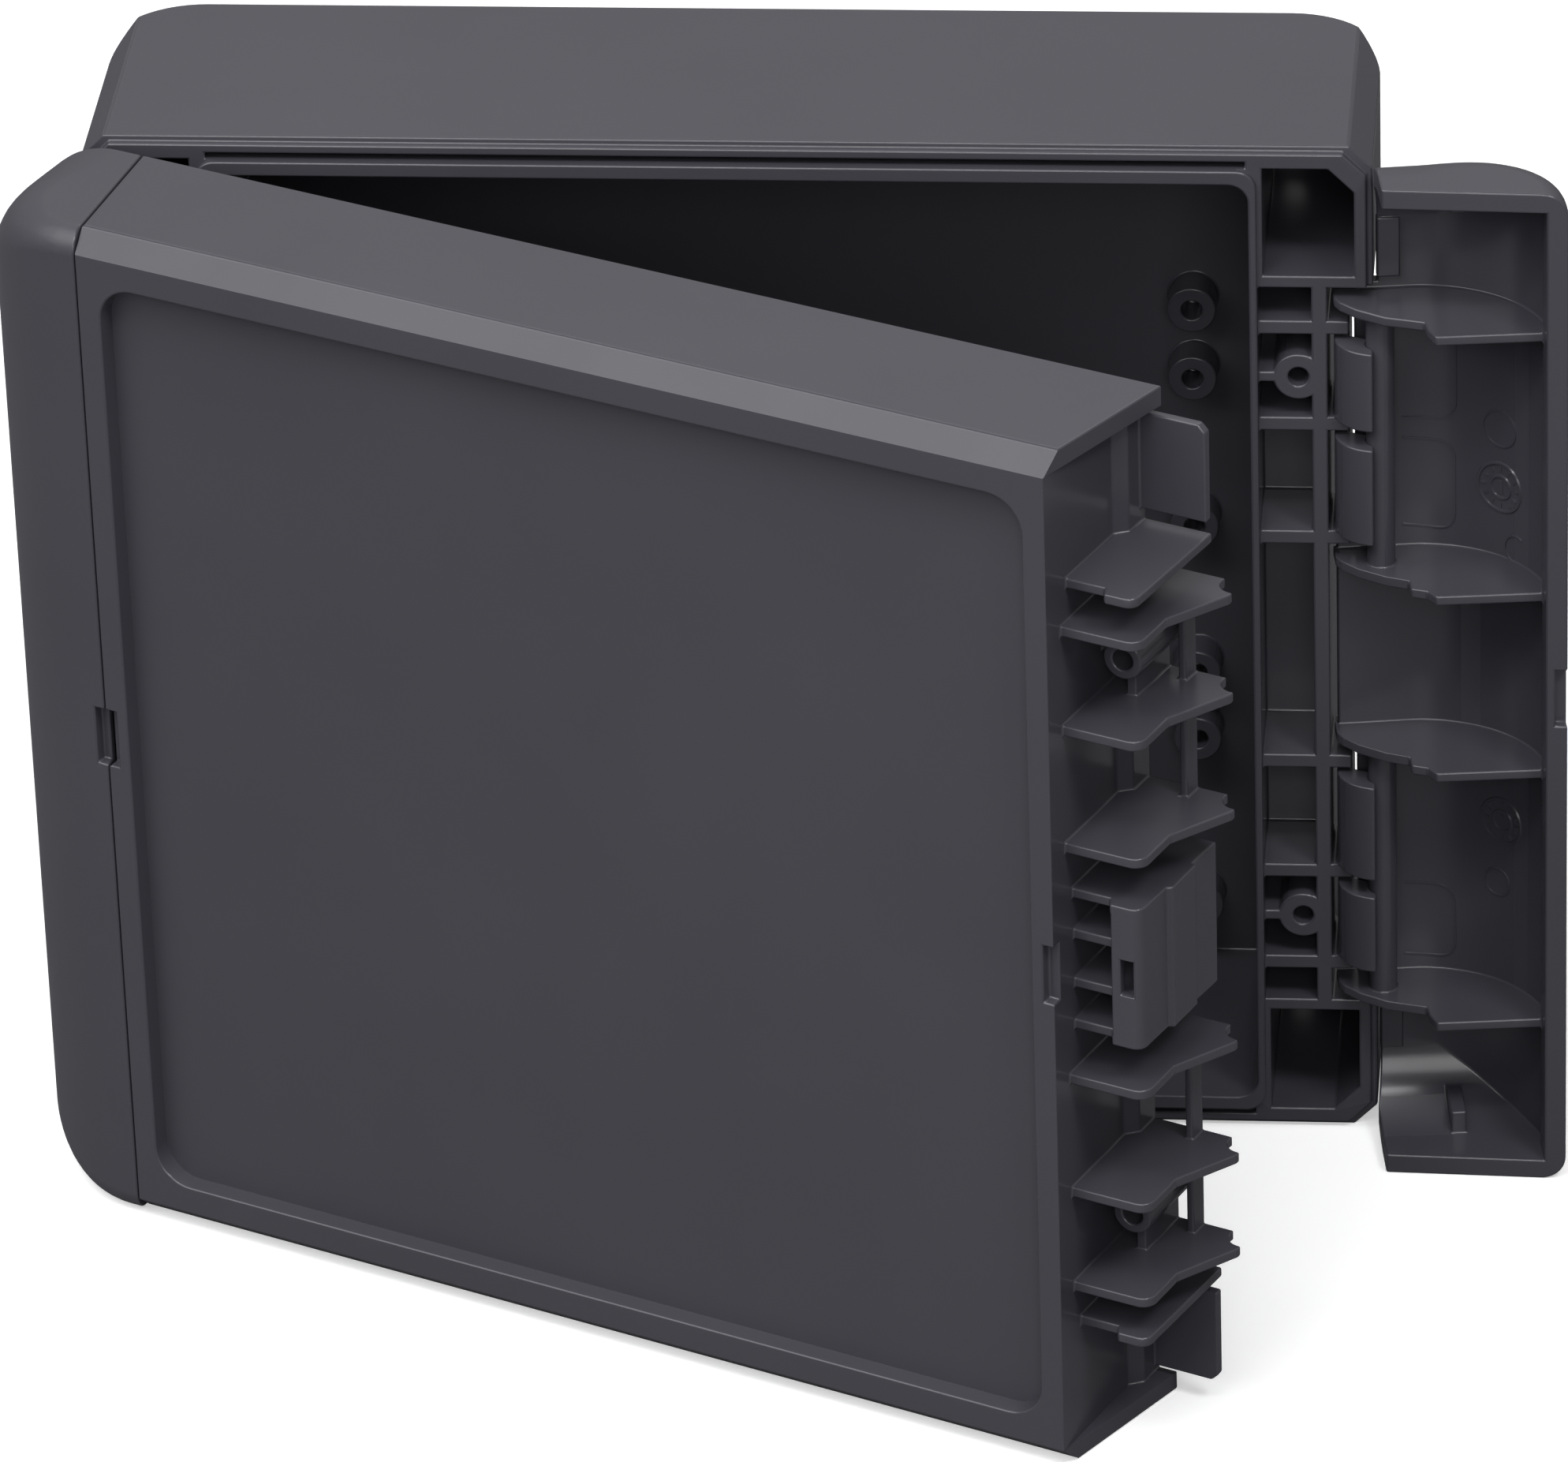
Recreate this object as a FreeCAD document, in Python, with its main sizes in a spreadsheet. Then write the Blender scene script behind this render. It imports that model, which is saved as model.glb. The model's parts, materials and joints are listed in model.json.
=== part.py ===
"""Hinged plastic wall enclosure: a deep base, a lid on the left hinge and two cover strips.

Frame: the origin is the centre of the flat back that lies on the wall, +X right, +Y into the wall,
+Z up. Depths are written from the rim plane, where the base ends and the lid begins, and heights
from the middle of the box. Lid and strips are drawn closed and then turned about their hinge axes
to the pose in which the box stands: lid ajar, right strip wide open.
"""
import FreeCAD, Part
import Sketcher
import math
import os

doc = FreeCAD.newDocument("HingedEnclosure")

# Driving sizes, in millimetres and degrees
SIZES = [
    ("box_height", 220.0, "top to bottom, all pieces"),
    ("rim_half_width", 125.6, "middle to the outside of the base's corner towers"),
    ("base_depth", 60.6, "wall face to rim plane"),
    ("edge_chamfer", 4.6, "chamfer along the base's four long edges"),
    ("back_corner_radius", 18.0, "plan rounding of the base's back corners"),
    ("back_wall", 3.0, "base floor thickness"),
    ("shoulder_width", 1.2, "outer step of the rim"),
    ("shoulder_depth", 1.5, "outer step of the rim"),
    ("chamber_half_width", 101.6, "middle to the chamber's side wall"),
    ("chamber_half_height", 102.6, "middle to the chamber's end wall"),
    ("chamber_corner", 4.0, "chamber corner radius"),
    ("chamber_wall", 1.6, "wall between chamber and side channel"),
    ("seal_rib_proud", 1.2, "seal rib in front of the rim plane"),
    ("seal_rib_width", 3.0, "seal rib along the ends"),
    ("drain_groove", 1.4, "groove outside the seal rib"),
    ("drain_groove_depth", 45.0, "groove outside the seal rib"),
    ("drain_groove_half", 101.0, "half the groove's length"),
    ("tower_inner", 104.3, "corner pocket, inner side"),
    ("tower_wall", 3.6, "corner pocket, outer wall"),
    ("tower_floor_height", 80.0, "middle height to the underside of the corner tower"),
    ("tower_floor", 2.6, "wall below the corner pocket"),
    ("tower_end_wall", 4.4, "end wall at the corner pocket"),
    ("tower_back", 3.6, "corner pocket floor thickness"),
    ("pocket_chamfer", 5.0, "corner pocket, outer corner"),
    ("channel_side_outer", 116.7, "outside of the channel's side wall"),
    ("channel_side_wall", 3.1, "channel's side wall"),
    ("channel_back", 42.9, "wall face to the channel's floor"),
    ("channel_floor", 3.0, "channel floor thickness, relieved from the back"),
    ("plate_a", 71.4, "middle height to channel plate a"),
    ("plate_b", 50.3, "middle height to channel plate b"),
    ("plate_c", 25.2, "middle height to channel plate c"),
    ("plate_thickness", 3.0, "channel plates"),
    ("plate_reach", 120.9, "plates, outer edge"),
    ("plate_tail", 16.0, "plates outside the side wall, back end"),
    ("knuckle_gap", 1.0, "knuckle top to the plate above"),
    ("hinge_across", 127.0, "middle to hinge axis"),
    ("hinge_ahead", 1.5, "hinge axis in front of the rim plane"),
    ("rod_radius", 2.8, "strip's hinge rod"),
    ("rod_clearance", 0.08, "running clearance of rod in knuckle"),
    ("knuckle_arc", 8.3, "outer rounding of the knuckle hook"),
    ("knuckle_root", 1.9, "depth at which the hook meets its leg"),
    ("knuckle_left", 117.9, "inner edge of the knuckle hook"),
    ("knuckle_right", 125.7, "lip of the knuckle hook"),
    ("channel_boss_across", 111.0, "middle to channel screw boss"),
    ("channel_boss_height", 60.6, "middle height to channel screw boss"),
    ("channel_boss_radius", 4.9, "channel screw boss"),
    ("channel_hole_radius", 2.0, "channel screw boss hole"),
    ("channel_hole_depth", 14.0, "channel screw boss hole"),
    ("boss_web", 2.2, "web from channel boss to chamber wall"),
    ("chamber_boss_radius", 4.9, "plate bosses on the chamber floor"),
    ("chamber_boss_hole", 2.1, "plate boss hole radius"),
    ("chamber_boss_tall", 7.3, "plate bosses above the floor"),
    ("chamber_boss_across", 87.5, "middle to the columns of plate bosses"),
    ("boss_row_corner", 88.0, "middle height to the plate bosses at the corners"),
    ("boss_row_outer", 49.0, "middle height to the next row of plate bosses"),
    ("boss_row_inner", 33.6, "middle height to the inner row of plate bosses"),
    ("wall_screw_across", 108.0, "middle to wall screw"),
    ("wall_screw_height", 94.0, "middle height to wall screw"),
    ("wall_screw_radius", 2.4, "wall screw hole"),
    ("lid_depth", 35.7, "rim plane to the lid's front face"),
    ("rim_gap", 0.3, "closed lid or strip to the rim plane"),
    ("lid_edge_back", 4.7, "lid's end chamfer, along the depth"),
    ("lid_edge_down", 4.1, "lid's end chamfer, along the height"),
    ("seam_rim", 111.05, "middle to the lid's sloping seam at the rim"),
    ("seam_front", 104.7, "middle to the seam at the front"),
    ("seam_gap", 0.3, "strip to lid across the seam"),
    ("lid_side", 104.7, "lid's side wall, outside"),
    ("lid_side_rim", 107.0, "lid's side wall at the rim, outside"),
    ("lid_side_step", 9.0, "depth at which the side wall steps out"),
    ("lid_wall", 3.0, "lid's side wall"),
    ("lid_front_wall", 3.0, "lid's front"),
    ("lid_end_wall", 4.0, "lid's end walls"),
    ("ledge_depth", 4.3, "rim plane to the seal's ledge"),
    ("ledge_thickness", 3.2, "seal's ledge"),
    ("ledge_half_height", 101.9, "middle to the ledge's inner edge"),
    ("rebate_half_width", 104.6, "outer wall of the seal's seat, sides"),
    ("rebate_half_height", 106.6, "outer wall of the seal's seat, ends"),
    ("gasket_height", 2.8, "seal, ledge to face"),
    ("gasket_side_play", 0.1, "seal to its walls"),
    ("panel_half_width", 98.8, "recessed front panel"),
    ("panel_half_height", 99.4, "recessed front panel"),
    ("panel_corner", 6.0, "panel corner radius"),
    ("panel_depth", 1.3, "panel below the front face"),
    ("panel_slope", 64.0, "slope of the panel's sides, degrees from the pull direction"),
    ("rib_thickness", 2.1, "lid and strip ribs"),
    ("rib_front", 30.4, "front of the lid's hook ribs"),
    ("rib_out", 121.1, "side edge of the lid's ribs"),
    ("rib_corner", 3.0, "front corner of the lid's hook ribs"),
    ("block_corner", 2.4, "front corner of the catch block"),
    ("rib_flare", 19.0, "depth at which the hook rib flares out"),
    ("nose_out", 127.5, "tip of the hook rib"),
    ("nose_thick", 1.1, "tip of the hook rib"),
    ("scallop_clearance", 0.6, "hook rib to hinge rod"),
    ("rib_back_gap", 0.4, "lid ribs to the rim plane"),
    ("end_rib_height", 80.4, "middle height to the lid's end ribs"),
    ("column_across", 115.9, "lid's back column between ribs"),
    ("column_width", 1.6, "lid's back column"),
    ("column_depth", 5.0, "lid's back column"),
    ("tube_web_depth", 14.0, "webs beside the lid's screw tube"),
    ("lid_tube_radius", 4.0, "lid's screw tube"),
    ("lid_tube_hole", 2.1, "lid's screw tube, bore"),
    ("lid_tube_front", 18.0, "lid's screw tube, front end"),
    ("block_half_height", 15.3, "catch block"),
    ("block_front", 30.4, "catch block, front"),
    ("block_left", 113.0, "catch block, inner edge"),
    ("block_wall", 2.3, "catch block walls"),
    ("block_rib_height", 5.3, "ribs behind the catch block"),
    ("block_rib_front", 28.0, "front of the ribs beside the block"),
    ("block_pad", 0.6, "raised strip on the block's side"),
    ("slot_width", 2.6, "slot in the block's front"),
    ("slot_half", 3.9, "slot in the block's front"),
    ("tab_left", 106.0, "tab plate over the corner pocket"),
    ("tab_right", 120.9, "tab plate over the corner pocket"),
    ("tab_low", 84.3, "tab plate, lower edge"),
    ("tab_high", 104.6, "tab plate, upper edge"),
    ("tab_thickness", 2.0, "tab plate"),
    ("notch_half", 6.2, "screwdriver notch at the seam"),
    ("notch_width", 2.3, "screwdriver notch at the seam"),
    ("notch_depth", 2.4, "screwdriver notch at the seam"),
    ("strip_side", 136.0, "middle to the strip's outer side"),
    ("strip_arc", 28.0, "plan rounding of the strip"),
    ("strip_wall", 2.6, "strip's shell"),
    ("strip_end_wall", 4.2, "strip's end walls"),
    ("strip_end_round_front", 5.0, "end rounding at the seam"),
    ("strip_end_round_side", 19.5, "end rounding at the side"),
    ("flange_depth", 4.2, "strip's flange along the seam"),
    ("flange_reach", 113.0, "inner edge of the flange"),
    ("strip_back_slope", 1.8, "relief of the strip's back edge at the towers"),
    ("strip_back_slope_from", 126.0, "where that relief begins"),
    ("strip_back", 2.7, "strip's side behind the rim plane"),
    ("strip_back_play", 0.6, "that side to the corner towers"),
    ("strip_tail", 6.5, "strip's middle tail behind the rim plane"),
    ("strip_tail_half", 22.9, "half the tail's height"),
    ("strip_rib_outer", 76.8, "middle height to the outer strip ribs"),
    ("strip_rib_inner", 19.8, "middle height to the inner strip ribs"),
    ("strip_rib_back", 7.2, "back of the strip ribs"),
    ("strip_lug_low", 80.6, "middle height to the guide lug beside the tower, lower end"),
    ("strip_lug_high", 93.4, "guide lug, upper end"),
    ("strip_lug_front", 5.9, "guide lug, front end"),
    ("strip_lug_back", 1.5, "guide lug, back end"),
    ("strip_lug_proud", 1.2, "guide lug above the strip's side"),
    ("end_stub", 5.0, "short rib inside the strip's end wall, height"),
    ("end_stub_depth", 15.7, "rim plane to the middle of that rib"),
    ("end_stub_thickness", 3.0, "thickness of that rib"),
    ("end_stub_inner", 118.0, "inner end of that rib"),
    ("end_stub_outer", 131.0, "outer end of that rib"),
    ("cut_margin", 5.0, "how far a cutting shape reaches past the piece"),
    ("overlap", 1.0, "how far a wall is sunk into the one that carries it"),
    ("pad_overlap", 0.2, "how far a small pad is sunk into its wall"),
    ("hook_heel", 2.2, "hinge axis to the knuckle's heel"),
    ("strip_rib_root", 110.8, "strip ribs, inner edge at the flange"),
    ("strip_rib_lip", 30.9, "depth of that edge's front end"),
    ("catch_out", 7.0, "outer catch of a strip rib, from its inner edge"),
    ("catch_in", 3.8, "inner catch of a strip rib, from its inner edge"),
    ("catch_depth", 9.2, "depth of the catches"),
    ("catch_slope", 0.3, "slope of the catch"),
    ("catch_lip", 0.6, "lip under the catches, from the inner edge"),
    ("catch_lip_depth", 10.6, "depth of that lip"),
    ("double_out", 7.8, "extra catch of the inner strip ribs, outer end"),
    ("double_in", 4.4, "extra catch of the inner strip ribs, inner end"),
    ("double_heel", 3.1, "foot of that catch"),
    ("double_depth", 6.1, "depth of that catch"),
    ("strip_rib_tail", 3.2, "hinge axis to the tail of a strip rib"),
    ("strip_rib_tail_cut", 2.0, "cut corner at that tail, across"),
    ("strip_rib_tail_rise", 0.8, "cut corner at that tail, along the depth"),
    ("strip_rib_cheek", 2.4, "hinge axis to the rib's back corner, across"),
    ("strip_rib_cheek_back", 4.9, "hinge axis to that corner, along the depth"),
    ("strip_rib_nose", 6.3, "hinge axis to the rib's nose"),
    ("strip_rib_nose_front", 0.2, "nose in front of the hinge axis"),
    ("block_side_step", 0.7, "catch block's side, set in from the ribs"),
    ("block_strip_front", 20.0, "raised strip on the block's side, front end"),
    ("block_strip_back", 9.4, "raised strip on the block's side, back end"),
    ("block_strip_slope", 0.6, "slope at the ends of that strip"),
    ("slot_inset", 3.0, "catch block's inner edge to its slot"),
    ("web_thickness", 2.0, "webs at the lid's screw tubes"),
    ("tab_corner", 1.5, "cut corner of the tab plate"),
    ("lid_open_angle", 24.3, "lid as it stands"),
    ("strip_open_angle", 98.0, "right strip as it stands"),
]

sheet = doc.addObject("Spreadsheet::Sheet", "Sizes")
for row, (alias, number, note) in enumerate(SIZES, start=1):
    sheet.set("A%d" % row, alias)
    sheet.set("B%d" % row, "%.4f" % number)
    sheet.set("C%d" % row, note)
    sheet.setAlias("B%d" % row, alias)
doc.recompute()


class Length:
    """A size as its number and as the sheet expression that keeps it live."""

    def __init__(self, number, text):
        self.number = number
        self.text = text

    def __add__(self, other):
        other = as_length(other)
        return Length(self.number + other.number, "(%s + %s)" % (self.text, other.text))

    def __sub__(self, other):
        other = as_length(other)
        return Length(self.number - other.number, "(%s - %s)" % (self.text, other.text))

    def __mul__(self, factor):
        factor = as_length(factor)
        return Length(self.number * factor.number, "(%s * %s)" % (self.text, factor.text))

    def __neg__(self):
        return Length(-self.number, "(0 - %s)" % self.text)

    def __radd__(self, other):
        return as_length(other) + self

    def __rsub__(self, other):
        return as_length(other) - self

    __rmul__ = __mul__


def as_length(value):
    return value if isinstance(value, Length) else Length(float(value), "%.4f" % value)


def size(alias):
    return Length(float(sheet.get(alias)), "Sizes." + alias)


def root_of_difference(long_side, short_side):
    """The third side of a right triangle."""
    number = math.sqrt(long_side.number ** 2 - short_side.number ** 2)
    text = "sqrt(%s ^ 2 - %s ^ 2)" % (long_side.text, short_side.text)
    return Length(number, text)


def cosine(angle):
    return Length(math.cos(math.radians(angle.number)), "cos(%s)" % angle.text)


def sine(angle):
    return Length(math.sin(math.radians(angle.number)), "sin(%s)" % angle.text)


# Sketch and feature helpers
FRONT, PLAN, SIDE = "XZ_Plane", "XY_Plane", "YZ_Plane"


def new_body(name):
    body = doc.addObject("PartDesign::Body", name)
    body.Label = name
    return body


def bind(target, path, length):
    target.setExpression(path, as_length(length).text)


def fix_point(sketch, geometry, point, place):
    """Hold one end of a sketch edge at a place given by two lengths."""
    for kind, value in (("DistanceX", place[0]), ("DistanceY", place[1])):
        index = sketch.addConstraint(Sketcher.Constraint(kind, -1, 1, geometry, point, value.number))
        bind(sketch, "Constraints[%d]" % index, value)


def add_loop(sketch, outline):
    """A closed outline. Each entry is a corner (x, y), or (x, y, radius, turn) for a corner that an
    arc of that radius reaches from the corner before, turn +1 anticlockwise and -1 clockwise."""
    corners = [tuple(as_length(value) for value in entry[:2]) for entry in outline]
    for index, entry in enumerate(outline):
        start = corners[index - 1]
        end = corners[index]
        if len(entry) == 2:
            line = Part.LineSegment(point_of(start), point_of(end))
            edge = sketch.addGeometry(line)
            fix_point(sketch, edge, 1, start)
            fix_point(sketch, edge, 2, end)
            continue
        radius = as_length(entry[2])
        arc, first, last = arc_between(start, end, radius.number, entry[3])
        edge = sketch.addGeometry(arc)
        fix_point(sketch, edge, first, start)
        fix_point(sketch, edge, last, end)
        held = sketch.addConstraint(Sketcher.Constraint("Radius", edge, radius.number))
        bind(sketch, "Constraints[%d]" % held, radius)


def point_of(place):
    return FreeCAD.Vector(place[0].number, place[1].number, 0)


def arc_between(start, end, radius, turn):
    """The shorter arc from start to end, and which of its ends is which."""
    a = point_of(start)
    b = point_of(end)
    chord = b - a
    middle = (a + b) * 0.5
    rise = math.sqrt(max(radius ** 2 - (chord.Length / 2) ** 2, 0))
    across = FreeCAD.Vector(-chord.y, chord.x, 0).normalize()
    centre = middle + across * rise * turn
    circle = Part.Circle(centre, FreeCAD.Vector(0, 0, 1), radius)
    if turn > 0:
        return Part.ArcOfCircle(circle, *angles(centre, a, b)), 1, 2
    return Part.ArcOfCircle(circle, *angles(centre, b, a)), 2, 1


def angles(centre, a, b):
    first = math.atan2(a.y - centre.y, a.x - centre.x)
    last = math.atan2(b.y - centre.y, b.x - centre.x)
    return first, last if last > first else last + 2 * math.pi


def add_circle(sketch, place, radius):
    place = tuple(as_length(value) for value in place)
    radius = as_length(radius)
    circle = Part.Circle(point_of(place), FreeCAD.Vector(0, 0, 1), radius.number)
    edge = sketch.addGeometry(circle)
    fix_point(sketch, edge, 3, place)
    held = sketch.addConstraint(Sketcher.Constraint("Radius", edge, radius.number))
    bind(sketch, "Constraints[%d]" % held, radius)


def draw(body, name, plane, offset, loops=(), circles=()):
    """A sketch on one of the body's own planes, moved along the plane's normal."""
    sketch = body.newObject("Sketcher::SketchObject", name)
    support = [item for item in body.Origin.OriginFeatures if item.Role == plane][0]
    sketch.AttachmentSupport = (support, [""])
    sketch.MapMode = "FlatFace"
    bind(sketch, "AttachmentOffset.Base.z", offset)
    for outline in loops:
        add_loop(sketch, outline)
    for place, radius in circles:
        add_circle(sketch, place, radius)
    return sketch


def pad(body, name, plane, offset, length, loops=(), circles=(), both_ways=False, taper=None):
    feature = body.newObject("PartDesign::Pad", name)
    feature.Profile = draw(body, name + "_outline", plane, offset, loops, circles)
    bind(feature, "Length", length)
    feature.Midplane = both_ways
    if taper is not None:
        bind(feature, "TaperAngle", taper)
    return feature


def cut(body, name, plane, offset, length, loops=(), circles=(), both_ways=False, taper=None):
    """A pocket that runs against the plane's normal."""
    feature = body.newObject("PartDesign::Pocket", name)
    feature.Profile = draw(body, name + "_outline", plane, offset, loops, circles)
    bind(feature, "Length", length)
    feature.Midplane = both_ways
    if taper is not None:
        bind(feature, "TaperAngle", taper)
    return feature


def box_loop(low_x, high_x, low_y, high_y):
    return [(low_x, low_y), (high_x, low_y), (high_x, high_y), (low_x, high_y)]


def round_box(half_x, half_y, radius):
    """A centred rectangle with rounded corners."""
    near_x = half_x - radius
    near_y = half_y - radius
    return [
        (near_x, -half_y), (half_x, -near_y, radius, 1),
        (half_x, near_y), (near_x, half_y, radius, 1),
        (-near_x, half_y), (-half_x, near_y, radius, 1),
        (-half_x, -near_y), (-near_x, -half_y, radius, 1),
    ]


def mirrored(outline):
    """The same outline on the other side of the middle, drawn the other way round."""
    flipped = []
    count = len(outline)
    for index in range(count - 1, -1, -1):
        x, y = outline[index][:2]
        after = outline[(index + 1) % count]
        flipped.append((-as_length(x), y) + tuple(after[2:]))
    return flipped


def left_and_right(outlines):
    return [loop for outline in outlines for loop in (outline, mirrored(outline))]


def upside_down(outline):
    """The same outline below the middle height, for outlines without arcs."""
    return [(x, -as_length(y)) for x, y in reversed(outline)]


# Places that several pieces share
half_height = size("box_height") * 0.5
rim = size("base_depth")
axis_x = size("hinge_across")
axis_y = -size("hinge_ahead")
plates = [size("plate_a"), size("plate_b"), size("plate_c")]
half_plate = size("plate_thickness") * 0.5
half_rib = size("rib_thickness") * 0.5


def deep(depth):
    """A plan coordinate from its depth behind the rim plane, negative in front of it."""
    return as_length(depth) - rim


def plan(outline):
    return [(entry[0], deep(entry[1])) + tuple(entry[2:]) for entry in outline]


def slab(body, name, loops, height, thickness, circles=()):
    """A plate across the height, with its middle at the given height."""
    return pad(body, name, PLAN, height, thickness, loops, circles, both_ways=True)


# Base
base = new_body("base")
base_half = size("rim_half_width")
chamfer = size("edge_chamfer")


def octagon(half_x, half_y, corner):
    return [
        (half_x - corner, -half_y), (half_x, corner - half_y), (half_x, half_y - corner),
        (half_x - corner, half_y), (corner - half_x, half_y), (-half_x, half_y - corner),
        (-half_x, corner - half_y), (corner - half_x, -half_y),
    ]


pad(base, "base_block", FRONT, 0, rim, [octagon(base_half, half_height, chamfer)])

spare = size("cut_margin")
sunk = size("overlap")
back_round = size("back_corner_radius")
back_corner = [
    (base_half - back_round, 0, back_round, 1), (base_half - back_round, spare),
    (base_half + spare, spare), (base_half + spare, -back_round), (base_half, -back_round),
]
cut(base, "back_corners", PLAN, 0, size("box_height"), left_and_right([back_corner]), both_ways=True)

side_outer = size("channel_side_outer")
tower_under = size("tower_floor_height")
recess = box_loop(side_outer, base_half + spare, -tower_under, tower_under)
cut(base, "side_recess", FRONT, rim, rim, left_and_right([recess]))

shoulder = size("shoulder_width")
outside = octagon(base_half + spare, half_height + spare, chamfer)
inside = octagon(base_half - shoulder, half_height - shoulder, chamfer)
cut(base, "rim_shoulder", FRONT, rim, size("shoulder_depth"), [outside, inside])

chamber_x = size("chamber_half_width")
chamber_y = size("chamber_half_height")
chamber_r = size("chamber_corner")
floor_depth = rim - size("back_wall")
cut(base, "chamber", FRONT, rim, floor_depth, [round_box(chamber_x, chamber_y, chamber_r)])

pocket_low = tower_under + size("tower_floor")
pocket_high = half_height - size("tower_end_wall")
pocket_in = size("tower_inner")
pocket_out = base_half - size("tower_wall")
pocket_cut = size("pocket_chamfer")
corner_pocket = [
    (pocket_in, pocket_low), (pocket_out, pocket_low), (pocket_out, pocket_high - pocket_cut),
    (pocket_out - pocket_cut, pocket_high), (pocket_in, pocket_high),
]
cut(base, "corner_pockets", FRONT, rim, rim - back_round,
    left_and_right([corner_pocket, upside_down(corner_pocket)]))
pocket_floor = rim - size("tower_back")
inner_round = pocket_out - (base_half - back_round)
pocket_middle = (pocket_low + pocket_high) * 0.5
pocket_heel = plan([
    (pocket_in, rim - back_round - sunk), (pocket_out, rim - back_round - sunk),
    (pocket_out, pocket_floor - inner_round), (pocket_out - inner_round, pocket_floor, inner_round, 1),
    (pocket_in, pocket_floor),
])
for up, where in ((1, "upper"), (-1, "lower")):
    cut(base, "pocket_heels_" + where, PLAN, up * pocket_middle, pocket_high - pocket_low,
        left_and_right([pocket_heel]), both_ways=True)

channel_in = chamber_x + size("chamber_wall")
channel_out = side_outer - size("channel_side_wall")
edges = [tower_under]
for height in plates:
    edges += [height + half_plate, height - half_plate]
channel_loops = [box_loop(channel_in, channel_out, -edges[-1], edges[-1])]
for upper, lower in zip(edges[0:-1:2], edges[1:-1:2]):
    cell = box_loop(channel_in, channel_out, lower, upper)
    channel_loops += [cell, upside_down(cell)]
cut(base, "channels", FRONT, rim, rim - size("channel_back"), left_and_right(channel_loops))
relief = box_loop(channel_in, channel_out, -tower_under, tower_under)
pad_depth = size("channel_back") - size("channel_floor")
cut(base, "channel_relief", FRONT, pad_depth, pad_depth, left_and_right([relief]))

groove_low = chamber_y + size("seal_rib_width")
groove_high = groove_low + size("drain_groove")
groove_half = size("drain_groove_half")
groove = box_loop(-groove_half, groove_half, groove_low, groove_high)
cut(base, "drain_grooves", FRONT, rim, size("drain_groove_depth"), [groove, upside_down(groove)])

rib_x = chamber_x + size("chamber_wall")
rib_y = chamber_y + size("seal_rib_width")
pad(base, "seal_rib", FRONT, rim, size("seal_rib_proud"),
    [round_box(rib_x, rib_y, chamber_r), round_box(chamber_x, chamber_y, chamber_r)])

boss_x = size("channel_boss_across")
boss_y = size("channel_boss_height")
boss_r = size("channel_boss_radius")
boss_web = size("boss_web") * 0.5
boss_spots = [(sign * boss_x, up * boss_y) for sign in (1, -1) for up in (1, -1)]
pad(base, "channel_bosses", FRONT, size("channel_back"), rim - size("channel_back"),
    circles=[(spot, boss_r) for spot in boss_spots])
web = box_loop(channel_in - boss_web, boss_x - boss_r + boss_web, boss_y - boss_web, boss_y + boss_web)
pad(base, "channel_boss_webs", FRONT, size("channel_back"), rim - size("channel_back"),
    left_and_right([web, upside_down(web)]))

plate_outline = plan(box_loop(side_outer - sunk, size("plate_reach"), 0, size("plate_tail")))
for letter, height in zip("abc", plates):
    for up, where in ((1, "upper"), (-1, "lower")):
        slab(base, "hinge_plate_%s_%s" % (letter, where), left_and_right([plate_outline]),
             up * height, size("plate_thickness"))

rod_r = size("rod_radius")
bearing_r = rod_r + size("rod_clearance")
hook_left = size("knuckle_left")
hook_right = size("knuckle_right")
hook_arc = size("knuckle_arc")
hook_back = size("knuckle_root")
arc_centre_x = hook_left + hook_arc
lip_front = hook_back - root_of_difference(hook_arc, arc_centre_x - hook_right)
lip_back = axis_y - root_of_difference(bearing_r, axis_x - hook_right)
heel_x = axis_x - size("hook_heel")
leg_x = size("plate_reach")
knuckle = plan([
    (hook_left, hook_back), (hook_right, lip_front, hook_arc, 1), (hook_right, lip_back),
    (heel_x, axis_y + root_of_difference(bearing_r, axis_x - heel_x), bearing_r, -1),
    (leg_x, hook_back), (leg_x, size("plate_tail")), (hook_left, size("plate_tail")),
])
knuckle_spans = [
    (plates[1] + half_plate, plates[0] - half_plate),
    (plates[2] + half_plate, plates[1] - half_plate),
    (-plates[1] + half_plate, -plates[2] - half_plate),
    (-plates[0] + half_plate, -plates[1] - half_plate),
]
for number, (low, high) in enumerate(knuckle_spans, start=1):
    pad(base, "knuckle_%d" % number, PLAN, low, high - low - size("knuckle_gap"),
        left_and_right([knuckle]))

boss_column = size("chamber_boss_across")
boss_heights = [as_length(0)]
for row_name in ("corner", "outer", "inner"):
    height = size("boss_row_" + row_name)
    boss_heights += [height, -height]
boss_places = [(sign * boss_column, height) for sign in (1, -1) for height in boss_heights]
back = size("back_wall")
pad(base, "chamber_bosses", FRONT, back, size("chamber_boss_tall"),
    circles=[(spot, size("chamber_boss_radius")) for spot in boss_places])
cut(base, "chamber_boss_holes", FRONT, back + size("chamber_boss_tall"), size("chamber_boss_tall"),
    circles=[(spot, size("chamber_boss_hole")) for spot in boss_places])
cut(base, "channel_boss_holes", FRONT, rim, size("channel_hole_depth"),
    circles=[(spot, size("channel_hole_radius")) for spot in boss_spots])
screw_spots = [(sign * size("wall_screw_across"), up * size("wall_screw_height"))
               for sign in (1, -1) for up in (1, -1)]
cut(base, "wall_screw_holes", FRONT, size("tower_back") + sunk, size("tower_back") + sunk,
    circles=[(spot, size("wall_screw_radius")) for spot in screw_spots])

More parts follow.
